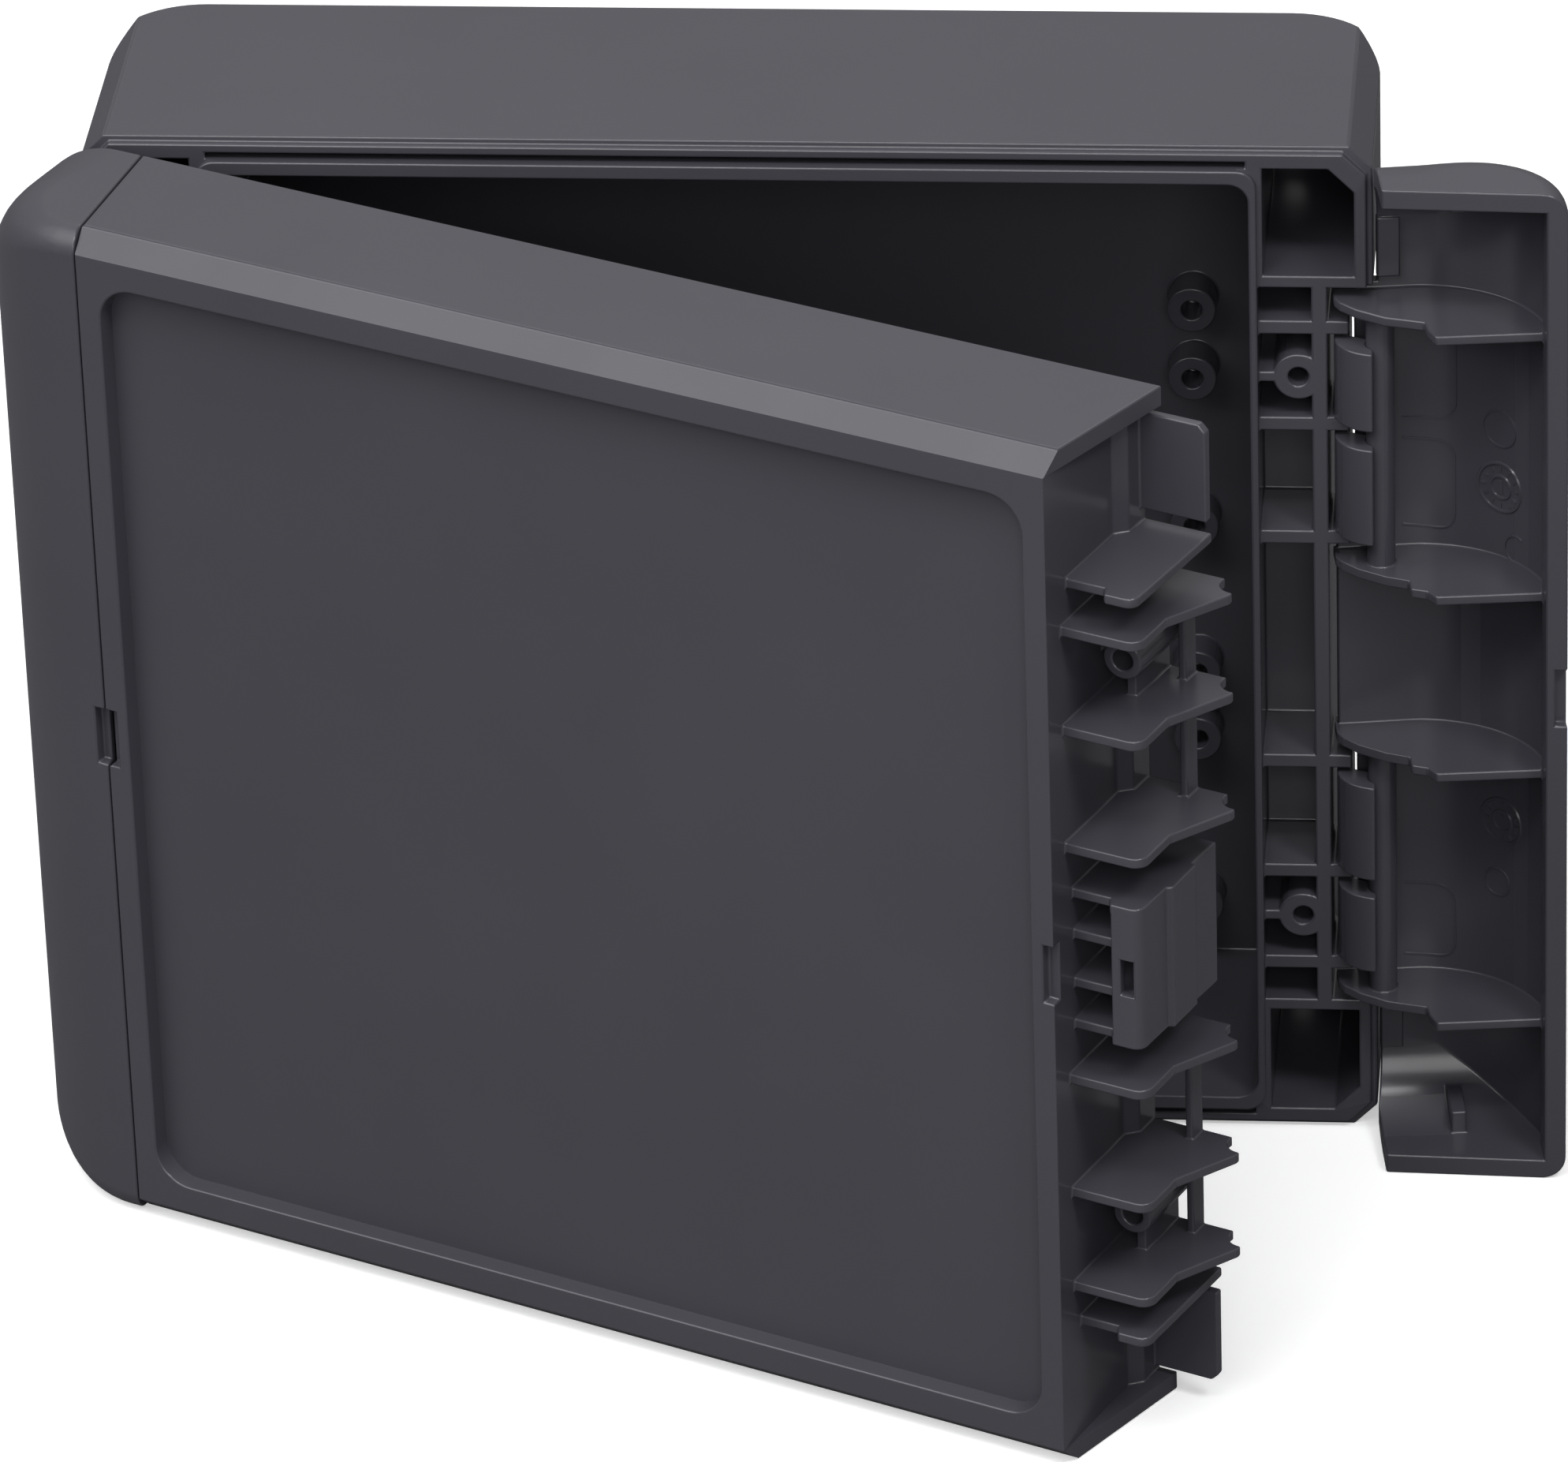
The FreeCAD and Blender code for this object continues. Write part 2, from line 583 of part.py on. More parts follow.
# Lid
lid = new_body("lid")
front = -size("lid_depth")
gap = size("rim_gap")
end_y = half_height
seam_rim = size("seam_rim")
seam_front = size("seam_front")
side_profile = [
    (deep(-gap), -end_y), (deep(-gap), end_y), (deep(front + size("lid_edge_back")), end_y),
    (deep(front), end_y - size("lid_edge_down")), (deep(front), size("lid_edge_down") - end_y),
    (deep(front + size("lid_edge_back")), -end_y),
]
pad(lid, "lid_block", SIDE, 0, seam_rim * 2, [side_profile], both_ways=True)

seam_cut = plan([
    (seam_rim, 0), (seam_front, front), (seam_front - sunk, front - spare),
    (seam_rim + spare, front - spare), (seam_rim + spare, spare), (seam_rim, spare),
])
cut(lid, "seams", PLAN, 0, size("box_height"), left_and_right([seam_cut]), both_ways=True)

lid_side = size("lid_side")
bay_y = half_height - size("lid_end_wall")
bay = box_loop(lid_side, seam_rim + spare, -bay_y, bay_y)
cut(lid, "side_bays", FRONT, rim + size("lid_depth"), size("lid_depth"), left_and_right([bay]))

step_x = size("lid_side_rim")
step_y = size("lid_side_step")
step = plan([
    (lid_side - sunk, -step_y), (lid_side, -step_y), (step_x, step_x - lid_side - step_y),
    (step_x, -gap), (lid_side - sunk, -gap),
])
slab(lid, "side_steps", left_and_right([step]), 0, bay_y * 2)

cavity_x = lid_side - size("lid_wall")
ledge_y = size("ledge_half_height")
ledge_back = size("ledge_depth")
ledge_front = ledge_back + size("ledge_thickness")
cut(lid, "cavity_mouth", FRONT, rim + ledge_front, ledge_front,
    [box_loop(-cavity_x, cavity_x, -ledge_y, ledge_y)])
cavity_front = size("lid_depth") - size("lid_front_wall")
cut(lid, "cavity", FRONT, rim + cavity_front, cavity_front - ledge_front,
    [box_loop(-cavity_x, cavity_x, -bay_y, bay_y)])
rebate_x = size("rebate_half_width")
rebate_y = size("rebate_half_height")
cut(lid, "front_panel", FRONT, rim + size("lid_depth"), size("panel_depth"),
    [round_box(size("panel_half_width"), size("panel_half_height"), size("panel_corner"))],
    taper=-size("panel_slope"))

rib_root = lid_side - sunk
rib_front = -size("rib_front")
rib_out = size("rib_out")
rib_back = -size("rib_back_gap")
scallop_r = rod_r + size("scallop_clearance")
nose_x = size("nose_out")
nose_back = axis_y - root_of_difference(scallop_r, nose_x - axis_x)
nose_front = nose_back - size("nose_thick")
scallop_x = axis_x - root_of_difference(scallop_r, rib_back - axis_y)
rib_corner = size("rib_corner")
hook_rib = plan([
    (rib_root, rib_front), (rib_out - rib_corner, rib_front),
    (rib_out, rib_front + rib_corner, rib_corner, 1), (rib_out, -size("rib_flare")),
    (nose_x, nose_front), (nose_x, nose_back), (scallop_x, rib_back, scallop_r, -1),
    (rib_root, rib_back),
])
for letter, height in zip("abc", plates):
    for up, where in ((1, "upper"), (-1, "lower")):
        slab(lid, "hook_rib_%s_%s" % (letter, where), left_and_right([hook_rib]),
             up * height, size("rib_thickness"))

end_rib_front = -size("block_rib_front")
block_left = size("block_left")
block_front = -size("block_front")
block_corner = size("block_corner")
block_side = rib_out - size("block_side_step")
block_edge = block_left + sunk
end_rib = plan([
    (rib_root, end_rib_front), (block_left, end_rib_front), (block_edge, block_front),
    (block_side - block_corner, block_front), (block_side, block_front + block_corner, block_corner, 1),
    (rib_out, rib_back), (rib_root, rib_back),
])
for up, where in ((1, "upper"), (-1, "lower")):
    slab(lid, "end_rib_%s" % where, left_and_right([end_rib]), up * size("end_rib_height"),
         size("rib_thickness"))
    slab(lid, "block_end_rib_%s" % where, left_and_right([end_rib]),
         up * (size("block_half_height") - half_rib), size("rib_thickness"))

block_wall = size("block_wall")
block_shell = plan([
    (block_edge, block_front), (block_side - block_corner, block_front),
    (block_side, block_front + block_corner, block_corner, 1), (rib_out, rib_back),
    (rib_out - block_wall, rib_back), (rib_out - block_wall, block_front + block_wall),
    (block_edge, block_front + block_wall),
])
slab(lid, "catch_blocks", left_and_right([block_shell]), 0, size("block_half_height") * 2)
block_rib = plan(box_loop(rib_root, rib_out - sunk, end_rib_front + size("pad_overlap"), rib_back))
for up, where in ((1, "upper"), (-1, "lower")):
    slab(lid, "block_rib_%s" % where, left_and_right([block_rib]), up * size("block_rib_height"),
         size("rib_thickness"))
pad_deep = size("block_pad")
strip_slope = size("block_strip_slope")
block_strip = plan([
    (block_side, -size("block_strip_front")), (rib_out + pad_deep, strip_slope - size("block_strip_front")),
    (rib_out + pad_deep, -size("block_strip_back") - strip_slope), (block_side, -size("block_strip_back")),
])
slab(lid, "block_strips", left_and_right([block_strip]), 0, size("block_half_height") * 2)
slot_x = block_left + size("slot_inset")
slot = box_loop(slot_x, slot_x + size("slot_width"), -size("slot_half"), size("slot_half"))
cut(lid, "block_slots", FRONT, rim + size("block_front") + sunk, block_wall + sunk,
    left_and_right([slot]))

column_x = size("column_across")
column = plan(box_loop(column_x, column_x + size("column_width"), -size("column_depth"), rib_back))
for up, where in ((1, "upper"), (-1, "lower")):
    slab(lid, "column_%s" % where, left_and_right([column]), up * (plates[0] + plates[2]) * 0.5,
         plates[0] - plates[2])
half_web = size("web_thickness") * 0.5
tube_web = box_loop(boss_x - half_web, boss_x + half_web, plates[1], plates[0])
side_web = box_loop(rib_root, boss_x, boss_y - half_web, boss_y + half_web)
tube_front = size("lid_tube_front")
pad(lid, "screw_tube_webs", FRONT, rim - rib_back, size("tube_web_depth"),
    left_and_right([tube_web, upside_down(tube_web)]))
pad(lid, "screw_tube_side_webs", FRONT, rim - rib_back, size("tube_web_depth"),
    left_and_right([side_web, upside_down(side_web)]))
pad(lid, "screw_tubes", FRONT, rim - rib_back, tube_front + rib_back,
    circles=[(spot, size("lid_tube_radius")) for spot in boss_spots])
cut(lid, "screw_tube_bores", FRONT, rim + tube_front, tube_front,
    circles=[(spot, size("lid_tube_hole")) for spot in boss_spots])

tab_corner = size("tab_corner")
tab_right = size("tab_right")
tab_high = size("tab_high")
tab = [
    (size("tab_left"), size("tab_low")), (tab_right, size("tab_low")), (tab_right, tab_high - tab_corner),
    (tab_right - tab_corner, tab_high), (size("tab_left"), tab_high),
]
pad(lid, "tab_plates", FRONT, rim - rib_back, size("tab_thickness"),
    left_and_right([tab, upside_down(tab)]))

cut(lid, "seal_seat", FRONT, rim + ledge_back, ledge_back,
    [box_loop(-rebate_x, rebate_x, -rebate_y, rebate_y)])
notch_y = size("notch_half")
notch = box_loop(seam_front - size("notch_width"), seam_front + spare, -notch_y, notch_y)
cut(lid, "notches", FRONT, rim + size("lid_depth"), size("notch_depth"), left_and_right([notch]))

# Seal
gasket = new_body("lid_gasket")
play = size("gasket_side_play")
pad(gasket, "gasket_ring", FRONT, rim + ledge_back - size("gasket_height"), size("gasket_height"),
    [box_loop(-(rebate_x - play), rebate_x - play, -(rebate_y - play), rebate_y - play),
     box_loop(-(cavity_x + play), cavity_x + play, -(ledge_y + play), ledge_y + play)])


# Cover strips
def extruded(name, outline, direction, forward, backward):
    """A solid from a closed outline, along a direction square to it."""
    sketch = doc.addObject("Sketcher::SketchObject", name + "_outline")
    add_loop(sketch, outline)
    if direction.y:
        sketch.Placement = FreeCAD.Placement(
            FreeCAD.Vector(0, 0, 0), FreeCAD.Rotation(FreeCAD.Vector(1, 0, 0), 90))
    solid = doc.addObject("Part::Extrusion", name)
    solid.Base = sketch
    solid.DirMode = "Custom"
    solid.Dir = direction
    solid.Solid = True
    bind(solid, "LengthFwd", forward)
    bind(solid, "LengthRev", backward)
    doc.recompute()
    return solid


def bar(name, outline, height):
    """A prism across the height, centred on the middle height."""
    return extruded(name, plan(outline), FreeCAD.Vector(0, 0, 1), height * 0.5, height * 0.5)


def round_ends(name, solid, height, side, front_depth, centre_x, centre_y, radius, first, last):
    """Rounds both ends of a bar: lightly along the front, more round the arc, most at the side."""
    top = (height * 0.5).number
    picks = []
    for index, edge in enumerate(solid.Shape.Edges, start=1):
        if abs(abs(edge.BoundBox.ZMin) - top) > 0.01 or edge.BoundBox.ZLength > 0.01:
            continue
        middle = edge.valueAt((edge.FirstParameter + edge.LastParameter) / 2)
        if abs(middle.y - deep(front_depth).number) < 0.01:
            picks.append((index, first, first))
        elif edge.Curve.TypeId == "Part::GeomCircle" and abs(edge.Curve.Radius - radius.number) < 0.01:
            starts_at_side = abs(edge.valueAt(edge.FirstParameter).x) > abs(middle.x)
            picks.append((index, last, first) if starts_at_side else (index, first, last))
        elif abs(abs(middle.x) - side.number) < 0.01:
            picks.append((index, last, last))
    rounded = doc.addObject("Part::Fillet", name)
    rounded.Base = solid
    rounded.Edges = picks
    doc.recompute()
    return rounded


def union(name, pieces):
    joined = doc.addObject("Part::MultiFuse", name)
    joined.Shapes = pieces
    joined.Refine = True
    return joined


def overlap(name, one, other):
    both = doc.addObject("Part::MultiCommon", name)
    both.Shapes = [one, other]
    return both


def difference(name, whole, tool):
    rest = doc.addObject("Part::Cut", name)
    rest.Base = whole
    rest.Tool = tool
    return rest


strip_side = size("strip_side")
strip_arc = size("strip_arc")
strip_wall = size("strip_wall")
arc_x = strip_side - strip_arc
arc_y = front + strip_arc
seam_gap = size("seam_gap")
slope_from = size("strip_back_slope_from")


def sided(outline, side):
    return outline if side > 0 else mirrored(outline)


def strip_plate(name, outline, side, height, thickness):
    piece = bar(name, sided(outline, side), thickness)
    bind(piece, "Placement.Base.z", height)
    return piece


root_x = size("strip_rib_root")
lip_x = root_x + size("catch_lip")
catch_in = root_x + size("catch_in")
catch_y = -size("catch_depth")
lip_y = -size("catch_lip_depth")
double_y = -size("double_depth")
single_hook = [
    (root_x + size("catch_out"), catch_y), (catch_in, catch_y - size("catch_slope")), (lip_x, lip_y),
]
double_hook = [
    (root_x + size("double_out"), double_y), (root_x + size("double_in"), double_y),
    (root_x + size("double_heel"), catch_y), (lip_x, lip_y),
]


def hook_outline(hooks):
    """A strip rib: hinge end behind the axis, sloped inner edge, catch steps, then the flange."""
    back_edge = size("strip_rib_back")
    tail_x = axis_x + size("strip_rib_tail")
    inner = strip_arc - strip_wall * 0.5
    return [
        (root_x, arc_y - inner), (arc_x, arc_y - inner), (arc_x + inner, arc_y, inner, 1),
        (arc_x + inner, back_edge), (tail_x, back_edge),
        (tail_x - size("strip_rib_tail_cut"), back_edge - size("strip_rib_tail_rise")),
        (axis_x - size("strip_rib_cheek"), axis_y + size("strip_rib_cheek_back")),
        (axis_x - size("strip_rib_nose"), axis_y - size("strip_rib_nose_front")),
    ] + hooks + [(root_x, -size("strip_rib_lip"))]


def cover_strip(name, side, angle):
    height = size("box_height")
    middle = Length(0, "0")
    side_round = size("strip_end_round_side")
    side_back = -gap - size("strip_back_slope")
    side_in = strip_side - strip_wall
    outer = bar(name + "_outer", sided([
        (seam_rim + seam_gap, -gap), (seam_front + seam_gap, front), (arc_x, front),
        (strip_side, arc_y, strip_arc, 1), (strip_side, side_back), (slope_from, -gap),
    ], side), height)
    shell = round_ends(name + "_rounded", outer, height, strip_side, front, arc_x, arc_y, strip_arc,
                       size("strip_end_round_front").number, side_round.number)
    hollow_height = height - size("strip_end_wall") * 2
    inner_arc = strip_arc - strip_wall
    flange_in = front + size("flange_depth")
    reach = size("flange_reach")
    inner_x = lid_side - spare
    hollow = bar(name + "_hollow", sided([
        (inner_x, flange_in), (reach, flange_in),
        (reach, arc_y - root_of_difference(inner_arc, reach - arc_x)),
        (side_in, arc_y, inner_arc, 1), (side_in, spare), (inner_x, spare),
    ], side), hollow_height)
    end_in = hollow_height * 0.5
    round_in = side_round - strip_wall
    end_view = extruded(name + "_hollow_ends", sided([
        (inner_x, -end_in), (side_in - round_in, -end_in), (side_in, round_in - end_in, round_in, 1),
        (side_in, end_in - round_in), (side_in - round_in, end_in, round_in, 1), (inner_x, end_in),
    ], side), FreeCAD.Vector(0, 1, 0), spare, rim + size("lid_depth"))
    casing = difference(name + "_casing", shell, overlap(name + "_hollow_rounded", hollow, end_view))

    back_wall = box_loop(side_in, strip_side, side_back - sunk, size("strip_back"))
    tail = box_loop(side_in, strip_side, size("strip_back") - sunk, size("strip_tail"))
    lug = box_loop(side_in - size("strip_lug_proud"), side_in + sunk, -size("strip_lug_front"),
                   -size("strip_lug_back"))
    lug_low = size("strip_lug_low")
    lug_high = size("strip_lug_high")
    stub_half = size("end_stub_thickness") * 0.5
    stub_depth = -size("end_stub_depth")
    stub = box_loop(size("end_stub_inner"), size("end_stub_outer"), stub_depth - stub_half,
                    stub_depth + stub_half)
    stub_height = size("end_stub") + sunk
    back_height = (tower_under - size("strip_back_play")) * 2
    pieces = [
        casing,
        strip_plate(name + "_side", back_wall, side, middle, back_height),
        strip_plate(name + "_tail", tail, side, middle, size("strip_tail_half") * 2),
    ]
    for up, where in ((1, "upper"), (-1, "lower")):
        ends = (
            ("outer_rib", hook_outline(single_hook), size("strip_rib_outer"), size("rib_thickness")),
            ("inner_rib", hook_outline(double_hook), size("strip_rib_inner"), size("rib_thickness")),
            ("lug", lug, (lug_low + lug_high) * 0.5, lug_high - lug_low),
            ("end_stub", stub, end_in + sunk - stub_height * 0.5, stub_height),
        )
        for label, outline, middle_height, thickness in ends:
            pieces.append(strip_plate("%s_%s_%s" % (name, label, where), outline, side,
                                      up * middle_height, thickness))
        rod = doc.addObject("Part::Cylinder", "%s_rod_%s" % (name, where))
        bind(rod, "Radius", rod_r)
        bind(rod, "Height", size("strip_rib_outer") - size("strip_rib_inner"))
        bind(rod, "Placement.Base.x", side * axis_x)
        bind(rod, "Placement.Base.y", deep(axis_y))
        bind(rod, "Placement.Base.z", size("strip_rib_inner") if up > 0 else -size("strip_rib_outer"))
        pieces.append(rod)
    whole = union(name + "_whole", pieces)
    notch_outline = box_loop(inner_x, seam_front + seam_gap + size("notch_width"),
                             front - spare, front + size("notch_depth"))
    notch_box = strip_plate(name + "_notch", notch_outline, side, middle, size("notch_half") * 2)
    strip = difference(name, whole, notch_box)
    strip.Label = name
    turn_about(strip, side, angle)
    return strip


def turn_about(piece, side, angle):
    """Turns a closed piece about the hinge axis of one side, in degrees seen from above."""
    centre_x = side * axis_x
    centre_y = deep(axis_y)
    turned_x = centre_x * cosine(angle) - centre_y * sine(angle)
    turned_y = centre_x * sine(angle) + centre_y * cosine(angle)
    piece.Placement = FreeCAD.Placement(
        FreeCAD.Vector(0, 0, 0), FreeCAD.Rotation(FreeCAD.Vector(0, 0, 1), angle.number))
    bind(piece, "Placement.Rotation.Angle", angle)
    bind(piece, "Placement.Base.x", centre_x - turned_x)
    bind(piece, "Placement.Base.y", centre_y - turned_y)


lid_turn = -size("lid_open_angle")
turn_about(lid, -1, lid_turn)
turn_about(gasket, -1, lid_turn)
left_strip = cover_strip("left_cover_strip", -1, lid_turn)
right_strip = cover_strip("right_cover_strip", 1, size("strip_open_angle"))

doc.recompute()
for item in doc.Objects:
    if "Invalid" in item.State or "Error" in item.State:
        raise RuntimeError("%s did not build" % item.Name)

os.makedirs("parts", exist_ok=True)
for piece in (base, lid, gasket, left_strip, right_strip):
    shape = piece.Shape
    if shape.isNull() or not shape.isValid() or len(shape.Solids) != 1:
        raise RuntimeError("%s is not one sound solid: %d" % (piece.Label, len(shape.Solids)))
    shape.exportStep("parts/%s.step" % piece.Label)
    print(piece.Label, round(shape.Volume), [round(v, 1) for v in (
        shape.BoundBox.XMin, shape.BoundBox.XMax, shape.BoundBox.YMin, shape.BoundBox.YMax,
        shape.BoundBox.ZMin, shape.BoundBox.ZMax)])
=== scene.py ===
"""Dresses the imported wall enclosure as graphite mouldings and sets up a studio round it.

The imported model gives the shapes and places. Each moulding is copied, its sharp edges are rounded as
a mould tool leaves them, and it gets its satin finish. The lid's recess is sunk to its full depth, and
the ribs in the strips' ends are trimmed. Marks of the mould tool lie on the open cover strip.
"""

import itertools
import json
import math

import bmesh
import bpy
from bpy.props import FloatProperty, FloatVectorProperty, IntProperty, PointerProperty, StringProperty
from mathutils import Euler, Matrix, Vector
from mathutils.bvhtree import BVHTree
from mathutils.geometry import intersect_point_line


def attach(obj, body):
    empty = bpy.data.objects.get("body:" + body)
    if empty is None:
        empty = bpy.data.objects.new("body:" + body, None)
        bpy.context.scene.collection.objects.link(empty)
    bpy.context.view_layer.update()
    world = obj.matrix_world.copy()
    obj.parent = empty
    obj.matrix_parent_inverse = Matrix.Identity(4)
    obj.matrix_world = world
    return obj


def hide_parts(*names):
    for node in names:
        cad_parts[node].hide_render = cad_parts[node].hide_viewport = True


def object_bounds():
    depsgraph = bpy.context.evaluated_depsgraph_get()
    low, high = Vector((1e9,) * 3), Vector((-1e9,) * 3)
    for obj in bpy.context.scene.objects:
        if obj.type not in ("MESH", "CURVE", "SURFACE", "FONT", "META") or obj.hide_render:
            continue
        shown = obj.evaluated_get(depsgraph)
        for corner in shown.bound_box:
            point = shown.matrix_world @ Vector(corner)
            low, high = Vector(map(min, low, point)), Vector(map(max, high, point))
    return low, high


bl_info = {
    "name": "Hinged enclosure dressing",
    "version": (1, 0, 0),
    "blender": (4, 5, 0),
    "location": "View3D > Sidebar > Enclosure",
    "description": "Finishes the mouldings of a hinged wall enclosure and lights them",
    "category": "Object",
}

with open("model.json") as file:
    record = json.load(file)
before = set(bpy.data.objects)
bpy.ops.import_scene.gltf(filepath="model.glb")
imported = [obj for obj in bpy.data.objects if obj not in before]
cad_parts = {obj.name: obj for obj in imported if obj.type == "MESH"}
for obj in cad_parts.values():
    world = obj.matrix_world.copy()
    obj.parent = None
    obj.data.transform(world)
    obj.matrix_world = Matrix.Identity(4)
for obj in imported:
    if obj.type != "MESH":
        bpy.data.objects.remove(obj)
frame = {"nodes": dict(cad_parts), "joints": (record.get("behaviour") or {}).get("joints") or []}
cad_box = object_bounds()

MM = 0.001

# Rounding of the mouldings' edges
MERGE_DISTANCE = 0.002 * MM  # corners of loose triangles that are one corner
FLAT_JOIN = math.radians(0.3)  # facets that belong to one flat face
SHARP = math.radians(18)  # least turn of an edge that is rounded
ONE_RUN = math.radians(35)  # edges that turn by less where they meet are rounded alike
FACING = -0.7  # cosine between edges on opposite sides of a ledge, walked round its face
END_ROOM = 0.8  # part of a short edge that the roundings at its ends may take together
SIDE_ROOM = 0.4  # part of a ledge's width that the rounding on each side may take
LEAST_SHARE = 0.02
LEAST_CORNER = 0.02  # corners sharper than this, in radians, are slivers and are passed over

# Rays that tell a sheltered face from an outer one
RAY_REACH = 60 * MM
RAY_LIFT = 0.3 * MM
RAY_TILTS = ((0, 0), (1.3, 0), (-1.3, 0), (0, 1.3), (0, -1.3))
SHELTERED = 2  # rays that have to meet the moulding again

# Mould marks on the strip, placed by degrees round its bend and millimetres up
# Pin rings: bend, height, radius, and the part of a turn that shows
PIN_RINGS = ((42.8, 49.1, 3.9, (0, 360)), (52.2, 23.6, 3.0, (60, 250)), (41.4, -53.1, 3.0, (0, 360)))
# Outlines of mould inserts, through their corners
INSERT_LINES = (
    ((-3, 49.2), (21, 49.0), (21, 71)),
    ((-3, 44.8), (20.5, 44.0), (20.5, 24.4), (-3, 25.6)),
    ((-3, -55.5), (20, -56.5), (20.5, -72.9), (-3, -72.1)),
)
INSERT_CORNER = 4 * MM
CORNER_STEPS = 8
LINE_PIECE = 1.5 * MM
RING_STEPS = 40
MARK_EDGE = math.radians(40)  # least turn of an edge that stays crisp on a mark
# Dial inserts: bend, height and radius
DIALS = ((43.0, 36.2, 5.2), (44.0, -38.8, 4.9))

# Lamps: name, size and place, in metres
LAMPS = (
    ("key", (2.3, 1.9), (-0.9, -0.8, 1.6)),
    ("fill", (0.8, 0.8), (0.3, -2.0, 0.9)),
    ("side", (0.4, 0.4), (0.8, -0.9, 1.5)),
    ("edge", (1.2, 0.14), (0, -1.0, 1.7)),
    ("rim", (1.6, 0.5), (0.1, 1.0, 1.2)),
)
LAMP_AIM = (0, -0.06, 0)
FLOOR_REACH = 4.0


# Sizes and colours that a user would change
class EnclosureFinish(bpy.types.PropertyGroup):
    """Colour and surface of the mouldings and the seal."""

    housing_hex: StringProperty(
        name="Housing", description="Graphite ABS as an sRGB hex value", default="#46454C")
    housing_shade_hex: StringProperty(
        name="Housing shade", description="Slightly deeper graphite where the melt cooled slower",
        default="#403F46")
    gasket_hex: StringProperty(
        name="Gasket", description="Foamed seal as an sRGB hex value", default="#17171A")
    edge_radius: FloatProperty(
        name="Edge radius", description="Rounding that a mould tool leaves on an edge",
        default=0.45 * MM, min=0, unit="LENGTH")
    grain_size: FloatProperty(
        name="Grain", description="Grain of the spark-eroded skin, drawn coarse enough to show",
        default=0.45 * MM, min=0.05 * MM, unit="LENGTH")
    grain_depth: FloatProperty(
        name="Grain depth", description="Depth of that grain", default=0.02 * MM, min=0, unit="LENGTH")
    skin_roughness: FloatProperty(
        name="Skin roughness", description="Satin outer skin", default=0.45, min=0, max=1,
        subtype="FACTOR")
    core_roughness: FloatProperty(
        name="Core roughness", description="Ribs and insides, from a smoother side of the mould",
        default=0.22, min=0, max=1, subtype="FACTOR")


class EnclosureForms(bpy.types.PropertyGroup):
    """The lid's recessed panel, and the stub ribs in the strips' ends."""

    front_depth: FloatProperty(
        name="Front face", description="Wall face to the lid's front", default=96.3 * MM, unit="LENGTH")
    drawn_half_width: FloatProperty(
        name="Drawn half width", description="Recess as the solid has it", default=98.8 * MM,
        unit="LENGTH")
    drawn_half_height: FloatProperty(
        name="Drawn half height", description="Recess as the solid has it", default=99.4 * MM,
        unit="LENGTH")
    drawn_corner: FloatProperty(
        name="Drawn corner", description="Recess corner as the solid has it", default=6.0 * MM,
        unit="LENGTH")
    drawn_wall: FloatProperty(
        name="Drawn wall", description="Lid's front face to its inside, as the solid has it",
        default=3.0 * MM, unit="LENGTH")
    panel_half_width: FloatProperty(
        name="Panel half width", description="Recess for a label or keypad", default=99.9 * MM,
        unit="LENGTH")
    panel_half_height: FloatProperty(
        name="Panel half height", description="Recess for a label or keypad", default=100.2 * MM,
        unit="LENGTH")
    panel_corner: FloatProperty(
        name="Panel corner", description="Corner radius of the recess", default=7.5 * MM, unit="LENGTH")
    panel_depth: FloatProperty(
        name="Panel depth", description="Depth of the recess below the front", default=4.0 * MM,
        unit="LENGTH")
    panel_draft: FloatProperty(
        name="Panel draft", description="How far the recess narrows to its floor", default=0.12 * MM,
        unit="LENGTH")
    stub_end: FloatProperty(
        name="Stub end", description="Middle of the box to the outer end of a strip's stub rib",
        default=131.0 * MM, unit="LENGTH")
    stub_top: FloatProperty(
        name="Stub top", description="Middle of the box to the top of that rib", default=106.8 * MM,
        unit="LENGTH")


class EnclosureMarks(bpy.types.PropertyGroup):
    """Marks that the mould tool leaves inside the open cover strip."""

    strip_side: FloatProperty(
        name="Strip side", description="Middle of the box to the strip's inner side", default=133.4 * MM,
        unit="LENGTH")
    strip_bend: FloatProperty(
        name="Strip bend", description="Inner radius of the strip's shell", default=25.4 * MM,
        unit="LENGTH")
    bend_start: FloatProperty(
        name="Bend start", description="Rim plane to where the bend begins", default=7.7 * MM,
        unit="LENGTH")
    rim_depth: FloatProperty(
        name="Rim depth", description="Wall face to the rim plane", default=60.6 * MM, unit="LENGTH")
    ridge_width: FloatProperty(
        name="Ridge width", description="Width of a mark's raised line", default=0.6 * MM, unit="LENGTH")
    ridge_height: FloatProperty(
        name="Ridge height", description="Height of a mark's raised line", default=0.28 * MM,
        unit="LENGTH")
    dial_ticks: IntProperty(
        name="Dial ticks", description="Plain ticks round a mould's dial insert", default=12, min=1)


